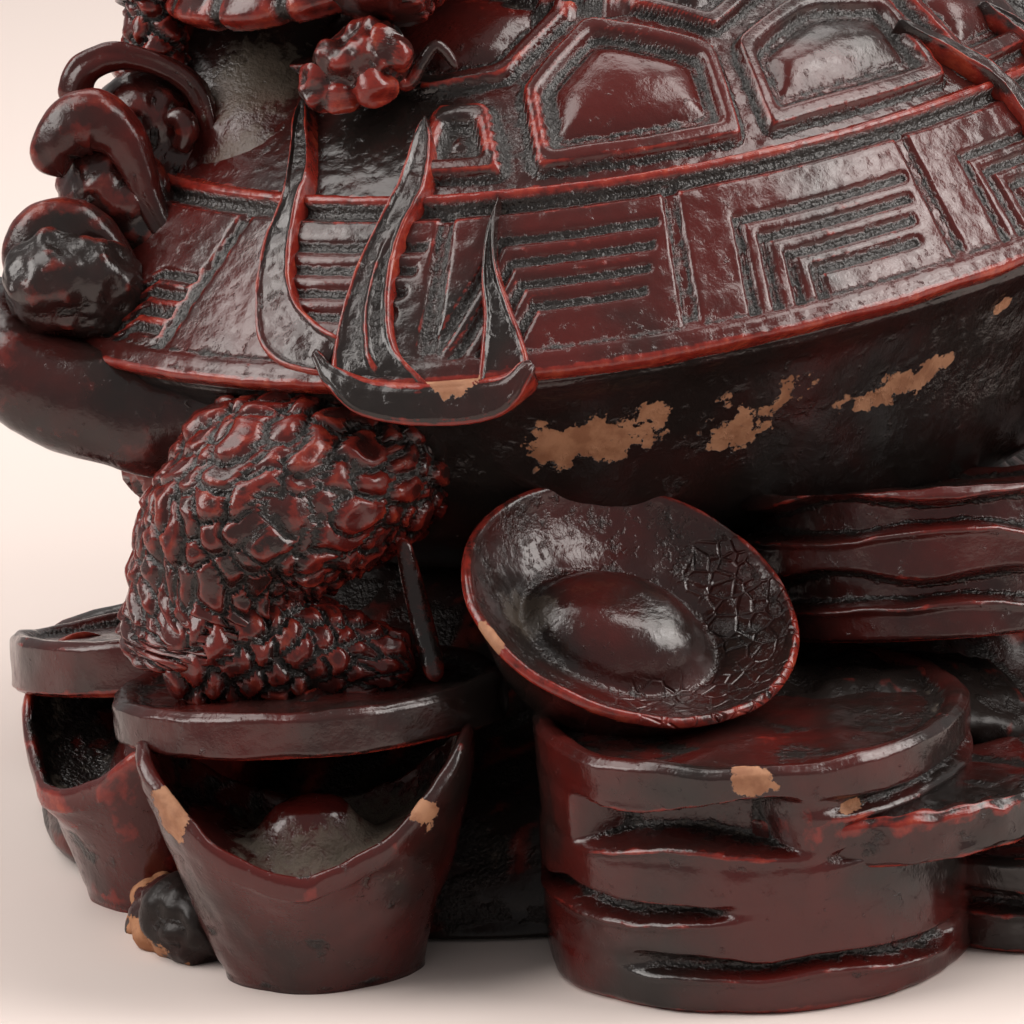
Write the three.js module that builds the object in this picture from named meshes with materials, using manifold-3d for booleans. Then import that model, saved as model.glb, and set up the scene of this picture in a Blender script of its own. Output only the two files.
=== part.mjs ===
// A dragon turtle on a heap of coins and boat-shaped ingots, cast in one piece.
// Millimetres, +Z up. The dragon faces -Y, and +X is on its left.
import * as THREE from "three";
import { mergeVertices } from "three/addons/utils/BufferGeometryUtils.js";
import Module from "manifold-3d";

// The turtle's shell: half sizes of its plan, and heights up from the underside of the heap.
const SHELL_HALF_LENGTH = 60;
const SHELL_HALF_WIDTH = 48;
const SHELL_FULLNESS = 2.2;
const RIM_HEIGHT = 48;
const RIM_TILT = 3.4;
const LIP = 2.8;
const BAND_HEIGHT = 12;
const BAND_START = 0.82;
const DOME_HEIGHT = 18;
const PLATE_RISE = 0.9;
const PANEL_RISE = 0.6;

// The heap that the turtle stands on.
const COIN_RADIUS = 18.6;
const COIN_THICKNESS = 4.4;
const COIN_SIDES = 12;
const INGOT_LENGTH = 29;
const INGOT_WIDTH = 21;
const INGOT_HEIGHT = 20;
const HEAP_REACH = 1.08;
const HEAP_HEIGHT = 28;
const FOOT_HEIGHT = 23;

// Limbs, tail and head.
const LEG_RADIUS = 12.5;
const TAIL_RADIUS = 9;
const NECK_RADIUS = 15.5;
const HEAD_LENGTH = 46;
const HEAD_WIDTH = 32;
const BABY_HALF_LENGTH = 21;
const BABY_HALF_WIDTH = 17;
const BABY_HEIGHT = 13;

const LACQUER = new THREE.MeshStandardMaterial({ color: 0x5a1712, roughness: 0.3, metalness: 0 });

const wasm = await Module();
wasm.setup();

const radians = THREE.MathUtils.degToRad;
const vec = (x, y, z) => new THREE.Vector3(x, y, z);

// A closed geometry as a solid, turned right side out if its faces point inwards.
function solid(geometry) {
  const bare = new THREE.BufferGeometry();
  bare.setAttribute("position", geometry.getAttribute("position"));
  if (geometry.index) bare.setIndex(geometry.index);
  const merged = mergeVertices(bare, 1e-4);
  const vertProperties = new Float32Array(merged.attributes.position.array);
  const triVerts = new Uint32Array(merged.index.array);
  const build = () => new wasm.Manifold(new wasm.Mesh({ numProp: 3, vertProperties, triVerts }));
  const made = build();
  if (made.volume() > 0) return made;
  for (let i = 0; i < triVerts.length; i += 3) {
    [triVerts[i + 1], triVerts[i + 2]] = [triVerts[i + 2], triVerts[i + 1]];
  }
  return build();
}

// The mean of some points.
const middleOf = (points) => points.reduce((sum, p) => sum.add(p), vec(0, 0, 0)).divideScalar(points.length);

// A closed skin over rings of points, with a fan of faces at each end. `crown` is the last fan's middle.
function loft(rings, crown = null) {
  const count = rings[0].length;
  const points = rings.flat();
  const faces = [];
  for (let k = 0; k + 1 < rings.length; k++) {
    for (let i = 0; i < count; i++) {
      const a = k * count + i;
      const b = k * count + ((i + 1) % count);
      faces.push(a, b, b + count, a, b + count, a + count);
    }
  }
  for (const [ring, start] of [[rings[0], 0], [rings.at(-1), points.length - count]]) {
    const hub = points.push(start > 0 && crown ? crown : middleOf(ring)) - 1;
    for (let i = 0; i < count; i++) {
      const a = start + i;
      const b = start + ((i + 1) % count);
      faces.push(...(start === 0 ? [b, a, hub] : [a, b, hub]));
    }
  }
  const geometry = new THREE.BufferGeometry().setFromPoints(points);
  geometry.setIndex(faces);
  return solid(geometry);
}

// A tapering body along a smooth path. Across it measures twice `wide(t)`, and twice `thick(t)` along `face`.
function sweep(path, { wide, thick = wide, face = vec(0, 0, 1), sides = 8, steps = 6, bump = 0 }) {
  const curve = new THREE.CatmullRomCurve3(path);
  const rings = [];
  for (let k = 0; k <= steps; k++) {
    const t = k / steps;
    const middle = curve.getPoint(t);
    const along = curve.getTangent(t);
    const side = along.clone().cross(face).normalize();
    const out = side.clone().cross(along).normalize();
    rings.push(
      Array.from({ length: sides }, (_, i) => {
        const turn = ((i + (k % 2) / 2) / sides) * 2 * Math.PI;
        const swell = 1 + bump * ((i + k) % 2 ? 1 : -1);
        return middle
          .clone()
          .addScaledVector(side, Math.cos(turn) * wide(t) * swell)
          .addScaledVector(out, Math.sin(turn) * thick(t) * swell);
      }),
    );
  }
  return loft(rings);
}

const join = (parts) => parts.reduce((whole, part) => whole.add(part));

// The point of the plan in direction `angle`, at `reach` times the shell's outline.
function onPlan(angle, reach, z = 0) {
  const c = Math.cos(radians(angle));
  const s = Math.sin(radians(angle));
  const n = SHELL_FULLNESS;
  const outline = (Math.abs(c / SHELL_HALF_WIDTH) ** n + Math.abs(s / SHELL_HALF_LENGTH) ** n) ** (-1 / n);
  return vec(reach * outline * c, reach * outline * s, z);
}

function reachOf(x, y) {
  const n = SHELL_FULLNESS;
  return (Math.abs(x / SHELL_HALF_WIDTH) ** n + Math.abs(y / SHELL_HALF_LENGTH) ** n) ** (1 / n);
}

const rimAt = (y) => RIM_HEIGHT + Math.tan(radians(RIM_TILT)) * (SHELL_HALF_LENGTH - y);

// Height of the shell's smooth top: a steep band at the rim, and a low dome inside it.
function shellTop(x, y) {
  const reach = Math.min(reachOf(x, y), 1);
  const inside = Math.min(reach / BAND_START, 1);
  const band = Math.min((1 - reach) / (1 - BAND_START), 1);
  return rimAt(y) + band * BAND_HEIGHT + (1 - inside ** 2) * DOME_HEIGHT;
}

function shellNormal(x, y) {
  const d = 0.5;
  const slopeX = (shellTop(x + d, y) - shellTop(x - d, y)) / (2 * d);
  const slopeY = (shellTop(x, y + d) - shellTop(x, y - d)) / (2 * d);
  return vec(-slopeX, -slopeY, 1).normalize();
}

const onShell = (p, lift) => vec(p.x, p.y, shellTop(p.x, p.y)).addScaledVector(shellNormal(p.x, p.y), lift);

// The shell's body: belly, wall under the rim, lip, band and dome.
function shellBody() {
  const sides = 24;
  const ring = (reach, height) =>
    Array.from({ length: sides }, (_, i) => {
      const p = onPlan((i / sides) * 360, reach);
      p.z = height(p);
      return p;
    });
  const belly = HEAP_HEIGHT - 2;
  const below = [
    [0.6, belly],
    [0.74, belly + 0.23 * (RIM_HEIGHT - belly)],
    [0.85, belly + 0.59 * (RIM_HEIGHT - belly)],
  ];
  const rings = below.map(([reach, z]) => ring(reach, (p) => z + 0.5 * (rimAt(p.y) - RIM_HEIGHT)));
  rings.push(ring(0.92, (p) => rimAt(p.y) - LIP - 1.6));
  rings.push(ring(0.985, (p) => rimAt(p.y) - LIP));
  for (const reach of [1, BAND_START, 0.56, 0.28]) rings.push(ring(reach, (p) => shellTop(p.x, p.y)));
  return loft(rings, vec(0, 0, shellTop(0, 0)));
}

// A raised plate on the shell. `steps` are pairs of how far in towards `hub`, and how high, and
// `crown` is the height at the hub.
function plate(outline, steps, crown, hub = middleOf(outline)) {
  const rings = steps.map(([inset, lift]) => outline.map((p) => onShell(p.clone().lerp(hub, inset), lift)));
  return loft(rings, onShell(hub, crown));
}

// The scutes at the shell's side, as pairs of direction and reach. Each ends in a peak between two
// scutes of the middle row, and has a seam to its neighbours.
const SIDE_SCUTES = [
  [[108.5, 0.785], [119.5, 0.785], [115.5, 0.66], [108, 0.66]],
  [[122.5, 0.785], [135, 0.785], [147, 0.785], [147.3, 0.61], [126, 0.505], [118.5, 0.64]],
  [[150, 0.785], [166, 0.785], [181.5, 0.785], [185.5, 0.6], [167.5, 0.545], [150, 0.61]],
  [[185.5, 0.785], [199, 0.785], [212.5, 0.785], [214.5, 0.63], [202.5, 0.545], [188.5, 0.6]],
  [[215.5, 0.785], [228, 0.785], [239.5, 0.785], [241.5, 0.65], [231, 0.515], [217.5, 0.63]],
  [[242.5, 0.785], [253, 0.785], [252.5, 0.66], [244.5, 0.66]],
];

// The scutes of the middle row, by their points on the right side.
const MIDDLE_SCUTES = [
  [[106, 0.64], [116.5, 0.62], [125.5, 0.475]],
  [[127.5, 0.475], [148.4, 0.585], [166, 0.515]],
  [[169, 0.515], [187, 0.575], [201.5, 0.515]],
  [[204.5, 0.515], [216, 0.6], [230, 0.485]],
  [[232.5, 0.485], [243, 0.625], [254, 0.64]],
];

// Directions of the bars between the panels of the band, on the right side.
const RIGHT_BARS = [92, 114.5, 137.2, 168, 191.5, 216, 240, 264];
const mirrored = (angle) => 180 - angle;

const SCUTE_STEPS = [
  [0, -1.6],
  [0.03, PLATE_RISE],
  [0.24, 0.2],
];

function scutes() {
  const plates = [];
  for (const outline of SIDE_SCUTES) {
    const right = outline.map(([angle, reach]) => onPlan(angle, reach));
    const left = right.map((p) => vec(-p.x, p.y, 0)).reverse();
    plates.push(plate(right, SCUTE_STEPS, 2 * PLATE_RISE), plate(left, SCUTE_STEPS, 2 * PLATE_RISE));
  }
  for (const outline of MIDDLE_SCUTES) {
    const right = outline.map(([angle, reach]) => onPlan(angle, reach));
    const left = right.map((p) => vec(-p.x, p.y, 0)).reverse();
    plates.push(plate([...right, ...left], SCUTE_STEPS, 2 * PLATE_RISE));
  }
  return plates;
}

// The panels of the band, between its bars.
function panels() {
  const gap = 1.4;
  const steps = [
    [0, -1.2],
    [0.04, PANEL_RISE],
  ];
  const made = [];
  for (const side of [(a) => a, mirrored]) {
    for (let k = 0; k + 1 < RIGHT_BARS.length; k++) {
      const [rear, front] = [side(RIGHT_BARS[k] + gap), side(RIGHT_BARS[k + 1] - gap)];
      const outline = [onPlan(rear, 0.855), onPlan(rear, 0.975), onPlan(front, 0.975), onPlan(front, 0.855)];
      made.push(plate(outline, steps, PANEL_RISE));
    }
  }
  return made;
}

// The outline of three tongues of flame, as pairs of a turn along the rim and a reach. The first tongue
// leans back, and the last is short.
const FLAME_OUTLINE = [
  [-9, 0.995],
  [-13.5, 0.9],
  [-21, 0.69],
  [-12.5, 0.84],
  [-9.5, 0.94],
  [-5.5, 0.9],
  [-3.5, 0.71],
  [0.5, 0.86],
  [3.5, 0.965],
  [6.5, 0.955],
  [7, 0.82],
  [11.5, 0.995],
];

// Tongues of flame over a haunch, joined by a band that hangs just below the rim.
function haunchFlame(angle, turn) {
  const steps = [
    [0, -1.2],
    [0.02, 1.5],
    [0.12, 1.7],
  ];
  const outline = FLAME_OUTLINE.map(([along, reach]) => onPlan(angle + turn * along, reach));
  const hub = onPlan(angle - turn * 1.5, 0.975);
  const band = [-8, 1, 10].map((along, i) => {
    const p = onPlan(angle + turn * along, 1.01);
    p.z = rimAt(p.y) - (i === 1 ? 3 : 0.5);
    return p;
  });
  return [
    plate(outline, steps, 1, hub),
    sweep(band, { wide: () => 2.6, thick: () => 2.4, sides: 5, steps: 3 }),
  ];
}

// A coin, its thickness down from `top`. An open coin has a raised rim, a covered one is plain.
function coin(centre, top, { radius = COIN_RADIUS, lean = [0, 0], open = false, turn = 0 } = {}) {
  const face = open
    ? [[0, -0.9], [radius - 3.2, -0.9], [radius - 2.4, 0], [radius, 0]]
    : [[0, 0], [radius, 0]];
  const profile = [...face, [radius, -COIN_THICKNESS], [0, -COIN_THICKNESS]].reverse();
  const geometry = new THREE.LatheGeometry(profile.map(([r, h]) => new THREE.Vector2(r, h)), COIN_SIDES);
  geometry.rotateX(Math.PI / 2);
  geometry.rotateZ(radians(turn));
  geometry.rotateX(radians(lean[0]));
  geometry.rotateY(radians(lean[1]));
  geometry.translate(centre.x, centre.y, top);
  return solid(geometry);
}

// A boat-shaped ingot: a tapered body under a lip that rises to its two tips, round a dish with a button.
function ingot(centre, { heading = 0, length = INGOT_LENGTH, width = INGOT_WIDTH, height = INGOT_HEIGHT,
  sag = 9, tilt = null, sides = 10 }) {
  const ring = (across, along, z, lift) =>
    Array.from({ length: sides }, (_, i) => {
      const turn = (i / sides) * 2 * Math.PI;
      const rise = lift * (Math.cos(turn) ** 2 - 1);
      return vec((Math.cos(turn) * along * length) / 2, (Math.sin(turn) * across * width) / 2, z + rise);
    });
  const rings = [
    ring(0.66, 0.62, 0, 0),
    ring(1, 1, height - 1, sag),
    ring(0.94, 0.95, height, sag),
    ring(0.62, 0.66, height - 0.75 * sag, 0.35 * sag),
    ring(0.24, 0.28, height - 0.5 * sag, 0),
  ];
  const move = new THREE.Matrix4().makeRotationZ(radians(heading));
  if (tilt) move.premultiply(tilt);
  move.setPosition(centre.x, centre.y, centre.z);
  return loft(rings.map((points) => points.map((p) => p.applyMatrix4(move))));
}

// Coins laid flat one on another, each a little out of line with the next.
function coinStack(angle, reach, levels, { base = 0, radius = COIN_RADIUS, open = false } = {}) {
  const coins = [];
  for (let k = 0; k < levels; k++) {
    const along = angle + 1.4 * Math.sin(2.4 * k + angle);
    const middle = onPlan(along, reach + 0.02 * Math.cos(1.9 * k + angle));
    const top = base + (k + 1) * (COIN_THICKNESS - 0.3) + (base === 0 ? 0.3 : 0);
    const topmost = open && k === levels - 1;
    const size = radius - 0.5 * (k % 2);
    coins.push(coin(middle, top, { radius: size, open: topmost, turn: 9 * k }));
  }
  return coins;
}

// The heap's filling, which the coins and ingots are half sunk in.
function heapCore() {
  const sides = 24;
  const steps = [
    [HEAP_REACH, 0],
    [HEAP_REACH * 0.92, HEAP_HEIGHT * 0.28],
    [HEAP_REACH * 0.7, HEAP_HEIGHT * 0.55],
    [HEAP_REACH * 0.5, HEAP_HEIGHT],
  ];
  const ring = (reach, z) => Array.from({ length: sides }, (_, i) => onPlan((i * 360) / sides, reach, z));
  return loft(steps.map(([reach, z]) => ring(reach, z)));
}

function heap() {
  const dishFace = vec(-0.54, 0.14, 0.83).normalize();
  const dishLength = vec(-0.72, -0.58, -0.37).projectOnPlane(dishFace).normalize();
  const leaning = new THREE.Matrix4().makeBasis(dishLength, dishFace.clone().cross(dishLength), dishFace);
  const ingots = [
    ingot(onPlan(109, 1.16, 0), { heading: 40, sides: 12 }),
    ingot(onPlan(84, 1.0, 0), { heading: -15, height: 16 }),
    ingot(onPlan(126.9, 0.93, 0.7 * HEAP_HEIGHT), {
      width: 27.5,
      height: 11,
      sag: 2.5,
      tilt: leaning,
      sides: 12,
    }),
    ingot(onPlan(190, 1.24, 0), { heading: 95 }),
    ingot(onPlan(236, 1.24, 0), { heading: 150 }),
    ingot(onPlan(270, 1.16, 0), { heading: 0 }),
    ingot(onPlan(330, 1.22, 0), { heading: 70 }),
    ingot(onPlan(5, 1.24, 0), { heading: 85 }),
    ingot(onPlan(48, 0.9, 0), { heading: 140 }),
  ];
  const coins = [
    coin(onPlan(103.5, 1.02), FOOT_HEIGHT, { open: true }),
    coin(onPlan(75, 0.94), 0.85 * FOOT_HEIGHT),
    ...coinStack(139.5, 1.16, 5, { open: true }),
    ...coinStack(165, 1.31, 3, { radius: 16 }),
    ...coinStack(163, 0.99, 2, { base: HEAP_HEIGHT - 1 }),
    ...coinStack(213, 1.18, 2),
    ...coinStack(253, 1.12, 2, { radius: 17 }),
    ...coinStack(290, 1.14, 2),
    ...coinStack(310, 1.2, 2),
    ...coinStack(348, 1.16, 2),
    ...coinStack(27, 0.96, 2),
    ...coinStack(66, 0.84, 2, { radius: 16 }),
    ...[225, 262, 300, 322, 348, 15].map((angle, k) => {
      const downhill = onPlan(angle, 1).normalize();
      const lean = k % 2 ? 14 : 22;
      return coin(onPlan(angle, 0.93), (0.6 + 0.11 * (k % 3)) * HEAP_HEIGHT, {
        radius: 16,
        lean: [-lean * downhill.y, lean * downhill.x],
      });
    }),
  ];
  return [heapCore(), ...ingots, ...coins];
}

// A leg, from under the shell to its foot on the heap, with three toes.
function leg(hip, knee, foot, heading, radius = LEG_RADIUS) {
  const ahead = vec(Math.cos(radians(heading)), Math.sin(radians(heading)), 0);
  const toe = foot.clone().addScaledVector(ahead, radius * 0.9);
  const across = vec(-ahead.y, ahead.x, 0);
  const parts = [
    sweep([hip, knee, foot.clone().add(vec(0, 0, radius * 0.45))], {
      wide: (t) => radius * (0.86 + 0.12 * Math.cos(t * 9)),
      thick: (t) => radius * (0.9 + 0.1 * Math.cos(t * 9)),
      face: ahead,
      sides: 8,
      steps: 5,
      bump: 0.045,
    }),
  ];
  for (const k of [-0.5, 0.5]) {
    const tip = toe.clone().addScaledVector(across, k * radius * 0.75).add(vec(0, 0, -0.5));
    const root = foot.clone().addScaledVector(across, k * radius * 0.6).add(vec(0, 0, radius * 0.2));
    parts.push(sweep([root, root.clone().lerp(tip, 0.6).add(vec(0, 0, 1)), tip], {
      wide: (t) => radius * (0.34 - 0.14 * t),
      thick: (t) => radius * (0.26 - 0.12 * t),
      sides: 4,
      steps: 2,
    }));
  }
  return parts;
}

function legs() {
  const hip = RIM_HEIGHT - 7;
  const knee = (FOOT_HEIGHT + hip) / 2;
  return [
    ...leg(onPlan(101, 0.85, hip), onPlan(101.5, 0.98, knee), onPlan(102, 1.04, FOOT_HEIGHT), 225),
    ...leg(onPlan(33, 0.68, hip), onPlan(33, 0.78, knee), onPlan(33, 0.82, FOOT_HEIGHT + 1), 290),
    ...leg(onPlan(212, 0.84, hip + 3), onPlan(212, 0.95, knee + 3), onPlan(213, 1.02, FOOT_HEIGHT + 2), 240),
    ...leg(onPlan(327, 0.84, hip + 3), onPlan(327, 0.95, knee + 3), onPlan(326, 1.02, FOOT_HEIGHT + 2), 300),
  ];
}

// The tail comes out under the rim and breaks into curls, as a wave does.
function tail() {
  const y = SHELL_HALF_LENGTH;
  const knot = vec(7, y - 4, RIM_HEIGHT + 8);
  const curls = [
    [vec(10, y - 16, RIM_HEIGHT + 16), vec(17, y - 17, RIM_HEIGHT + 22), vec(22, y - 12, RIM_HEIGHT + 20)],
    [vec(11, y - 8, RIM_HEIGHT + 15), vec(16.5, y - 8, RIM_HEIGHT + 20), vec(18.5, y - 5, RIM_HEIGHT + 14)],
    [vec(11, y - 3, RIM_HEIGHT + 10), vec(16, y - 1, RIM_HEIGHT + 11), vec(17.5, y + 1.5, RIM_HEIGHT + 4)],
  ];
  const parts = curls.map((path) =>
    sweep([knot, ...path], {
      wide: (t) => TAIL_RADIUS * (0.5 + 0.3 * Math.sin(Math.PI * t)) * (1 - 0.35 * t),
      thick: (t) => TAIL_RADIUS * (0.42 + 0.12 * Math.sin(Math.PI * t)),
      face: vec(0.5, 0.85, 0),
      sides: 7,
      steps: 4,
    }),
  );
  const root = [
    vec(0, y - 12, RIM_HEIGHT - 4),
    vec(7, y - 2.6, RIM_HEIGHT - 5.3),
    vec(14, y, RIM_HEIGHT - 1),
    vec(12, y - 1, RIM_HEIGHT + 8),
  ];
  const core = [vec(2, y - 19, RIM_HEIGHT + 11), vec(8, y - 16, RIM_HEIGHT + 10), vec(15, y - 10, RIM_HEIGHT + 15)];
  parts.push(
    sweep(root, { wide: (t) => TAIL_RADIUS * (0.85 - 0.2 * t), sides: 7, steps: 4 }),
    sweep(core, { wide: (t) => TAIL_RADIUS * (0.9 - 0.4 * t), sides: 7, steps: 3 }),
  );
  return parts;
}

// Neck and head, raised over the front of the shell, with an open mouth, horns, mane and whiskers.
function head() {
  const front = -SHELL_HALF_LENGTH;
  const brow = vec(0, front - 8, RIM_HEIGHT + 43);
  const neck = sweep(
    [
      vec(0, front + 22, RIM_HEIGHT),
      vec(0, front - 2, RIM_HEIGHT + 8),
      vec(0, front - 6, RIM_HEIGHT + 26),
      brow,
    ],
    { wide: (t) => NECK_RADIUS * (1.05 - 0.3 * t), face: vec(0, -1, 0.2), sides: 9, steps: 5, bump: 0.04 },
  );
  const L = HEAD_LENGTH;
  const W = HEAD_WIDTH / 2;
  const section = (y, z, wide, thick) =>
    Array.from({ length: 8 }, (_, i) => {
      const turn = ((i + 0.5) / 8) * 2 * Math.PI;
      return vec(brow.x + wide * Math.cos(turn), brow.y + y, brow.z + z + thick * Math.sin(turn));
    });
  const upper = loft([
    section(L * 0.3, 0, W * 0.7, 9),
    section(L * 0.08, 1, W, 11),
    section(-L * 0.22, 0.5, W * 0.86, 9),
    section(-L * 0.45, -1, W * 0.62, 5.5),
    section(-L * 0.62, -0.5, W * 0.72, 5),
    section(-L * 0.7, -1, W * 0.5, 3),
  ]);
  const jaw = loft([
    section(L * 0.15, -8, W * 0.8, 5),
    section(-L * 0.15, -12, W * 0.66, 3.4),
    section(-L * 0.42, -14.5, W * 0.5, 2.6),
    section(-L * 0.55, -13.5, W * 0.36, 1.8),
  ]);
  const parts = [neck, upper, jaw];
  const from = (x, y, z) => vec(brow.x + x, brow.y + y, brow.z + z);
  for (const side of [-1, 1]) {
    const eye = new THREE.SphereGeometry(4, 6, 4);
    eye.translate(side * W * 0.62, brow.y - L * 0.16, brow.z + 7.5);
    const nostril = new THREE.SphereGeometry(2.8, 5, 3);
    nostril.translate(side * W * 0.36, brow.y - L * 0.6, brow.z + 3.6);
    parts.push(solid(eye), solid(nostril));
    const at = (x, y, z) => from(side * x, y, z);
    parts.push(
      sweep([at(5, 4, 8), at(8, 14, 15), at(11, 27, 15), at(12, 36, 20)], {
        wide: (t) => 3 - 2.2 * t,
        sides: 5,
        steps: 4,
      }),
      sweep([at(9, 6, -2), at(14, 12, 2), at(15, 20, 8)], {
        wide: (t) => 3.6 - 2.8 * t,
        sides: 5,
        steps: 2,
      }),
      sweep([at(8, 6, -11), at(15, 13, -13), at(17, 23, -8)], {
        wide: (t) => 4 - 3.2 * t,
        sides: 4,
        steps: 2,
      }),
      sweep([at(5, -23, -1), at(10, -20, -5), at(14, -10, -7), at(15, -1, -16)], {
        wide: (t) => 1.7 - 0.9 * t,
        sides: 4,
        steps: 4,
      }),
    );
  }
  parts.push(
    sweep([from(0, -6, -13), from(0, -12, -22), from(0, -8, -29)], {
      wide: (t) => 5 - 4 * t,
      thick: (t) => 3.4 - 2.4 * t,
      face: vec(0, -1, 0),
      sides: 6,
      steps: 3,
    }),
  );
  for (const k of [0, 1, 2]) {
    const back = vec(0, brow.y + 6 + 3.6 * k, brow.z + 5 - 12 * k);
    parts.push(
      sweep([back, back.clone().add(vec(0, 7, 3)), back.clone().add(vec(0, 13, 9))], {
        wide: (t) => 4.6 - 3.8 * t,
        sides: 4,
        steps: 2,
      }),
    );
  }
  return parts;
}

// A young dragon turtle climbing the rear of the big shell.
function baby() {
  const middle = onPlan(84, 0.4, shellTop(0, 0.37 * SHELL_HALF_LENGTH) + 3);
  const back = new THREE.SphereGeometry(1, 11, 6);
  back.scale(BABY_HALF_WIDTH, BABY_HALF_LENGTH, BABY_HEIGHT);
  back.rotateX(radians(-12));
  back.translate(middle.x, middle.y, middle.z);
  const place = (x, y, z) => vec(middle.x + x, middle.y + y, middle.z + z);
  const limb = (path, radius) =>
    sweep(path, { wide: (t) => radius * (1 - 0.25 * t), sides: 6, steps: 3, bump: 0.05 });
  const parts = [
    solid(back),
    limb([place(-10, 9, -2), place(-10.5, 14, -4), place(-9, 17.5, -8.5)], 5),
    limb([place(8, 9, -1), place(14, 16, -3), place(15.5, 19.5, -9.5)], 4.2),
    limb([place(-11, -8, -2), place(-17, -13, -5), place(-19, -18, -9)], 4.6),
    limb([place(11, -8, -2), place(17, -13, -5), place(19, -18, -9)], 4.6),
    limb([place(0, -14, 0), place(0, -21, 5), place(0, -27, 9)], 6),
    limb([place(0, -22, 7), place(0, -30, 9), place(0, -36, 7)], 6),
  ];
  for (const side of [-1, 1]) {
    parts.push(
      sweep([place(side * 3, -25, 12), place(side * 5, -20, 17), place(side * 6, -14, 18)], {
        wide: (t) => 1.7 - 1.1 * t,
        sides: 5,
        steps: 3,
      }),
    );
  }
  return parts;
}

function figure() {
  const parts = [
    shellBody(),
    ...scutes(),
    ...panels(),
    ...heap(),
    ...legs(),
    ...tail(),
    ...haunchFlame(111, 1),
    ...haunchFlame(45, -1),
    ...haunchFlame(202.5, 1),
    ...haunchFlame(337, -1),
    ...head(),
    ...baby(),
  ];
  return join(parts);
}

// The faces of a solid's outer skin, without the skins of pockets closed off between joined pieces.
function outerFaces(points, triVerts) {
  const parent = Array.from({ length: points.length / 3 }, (_, i) => i);
  const rootOf = (i) => {
    while (parent[i] !== i) i = parent[i] = parent[parent[i]];
    return i;
  };
  for (let i = 0; i < triVerts.length; i += 3) {
    parent[rootOf(triVerts[i])] = rootOf(triVerts[i + 1]);
    parent[rootOf(triVerts[i + 1])] = rootOf(triVerts[i + 2]);
  }
  const point = (i) => vec(points[3 * i], points[3 * i + 1], points[3 * i + 2]);
  const skins = new Map();
  for (let i = 0; i < triVerts.length; i += 3) {
    const face = [triVerts[i], triVerts[i + 1], triVerts[i + 2]];
    const key = rootOf(face[0]);
    if (!skins.has(key)) skins.set(key, { faces: [], volume: 0 });
    const [a, b, c] = face.map(point);
    skins.get(key).faces.push(...face);
    skins.get(key).volume += a.dot(b.cross(c)) / 6;
  }
  return [...skins.values()].sort((a, b) => b.volume - a.volume)[0].faces;
}

function meshOf(name, whole, material) {
  const { vertProperties, triVerts } = whole.getMesh();
  const geometry = new THREE.BufferGeometry();
  geometry.setAttribute("position", new THREE.BufferAttribute(vertProperties, 3));
  geometry.setIndex(outerFaces(vertProperties, triVerts));
  const mesh = new THREE.Mesh(geometry.toNonIndexed(), material);
  mesh.geometry.computeVertexNormals();
  mesh.name = name;
  return mesh;
}

const group = new THREE.Group();
group.add(meshOf("dragon_turtle", figure(), LACQUER));

export default group;
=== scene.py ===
import bpy
import numpy as np
from mathutils import Matrix


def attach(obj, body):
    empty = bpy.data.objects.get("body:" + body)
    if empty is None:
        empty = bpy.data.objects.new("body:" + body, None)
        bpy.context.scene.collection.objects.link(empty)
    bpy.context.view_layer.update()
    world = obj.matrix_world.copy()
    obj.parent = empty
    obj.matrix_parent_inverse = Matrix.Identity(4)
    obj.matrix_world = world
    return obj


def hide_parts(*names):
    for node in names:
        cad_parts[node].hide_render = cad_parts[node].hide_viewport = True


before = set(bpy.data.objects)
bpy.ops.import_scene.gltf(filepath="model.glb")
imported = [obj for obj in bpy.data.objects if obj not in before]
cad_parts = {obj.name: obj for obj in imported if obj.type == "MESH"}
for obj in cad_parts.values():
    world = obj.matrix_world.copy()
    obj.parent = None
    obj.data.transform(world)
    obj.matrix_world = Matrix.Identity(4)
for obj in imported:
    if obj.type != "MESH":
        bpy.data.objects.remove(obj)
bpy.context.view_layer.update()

# The shell's dome
# The figure is one casting in resin, sprayed oxblood red over black and lacquered, then rubbed back so
# that the edges wear to bright red and the recesses keep black paint and dust. The dome has a middle row
# and two side rows of scutes, each a raised border round a gritty groove and a polished cushion.
MM = 0.001
HALF_WIDTH = 48.0
HALF_LENGTH = 60.0
FULLNESS = 2.2
RIM_HEIGHT = 48.0
RIM_TILT = 3.4
BAND_START = 0.82
BAND_HEIGHT = 12.0
DOME_HEIGHT = 18.0
SCUTE_BORDER = 1.7
SCUTE_GROOVE = 1.5
SCUTE_RISE = 1.15
SCUTE_DEPTH = 0.55
DOME_EDGE = 0.803
DOME_SKIN = 3.0
FINE_SPREAD = 0.9
BROAD_SPREAD = 2.4
WEAR_START = 0.25
BROAD_WEAR = 0.15
FINE_GRIME = 0.7
BROAD_GRIME = 0.2
DUST_GAIN = 1.6
DUST_SHELTER = 0.08


def plan(angle, reach):
    """Plan point in a direction in degrees, at a share of the shell's outline, a superellipse."""
    c = np.cos(np.radians(angle))
    s = np.sin(np.radians(angle))
    outline = (np.abs(c / HALF_WIDTH) ** FULLNESS
               + np.abs(s / HALF_LENGTH) ** FULLNESS) ** (-1 / FULLNESS)
    return np.stack([reach * outline * c, reach * outline * s], axis=-1)


def rim_at(y):
    """Height of the lip, which rises towards the head."""
    return RIM_HEIGHT + np.tan(np.radians(RIM_TILT)) * (HALF_LENGTH - y)


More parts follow.
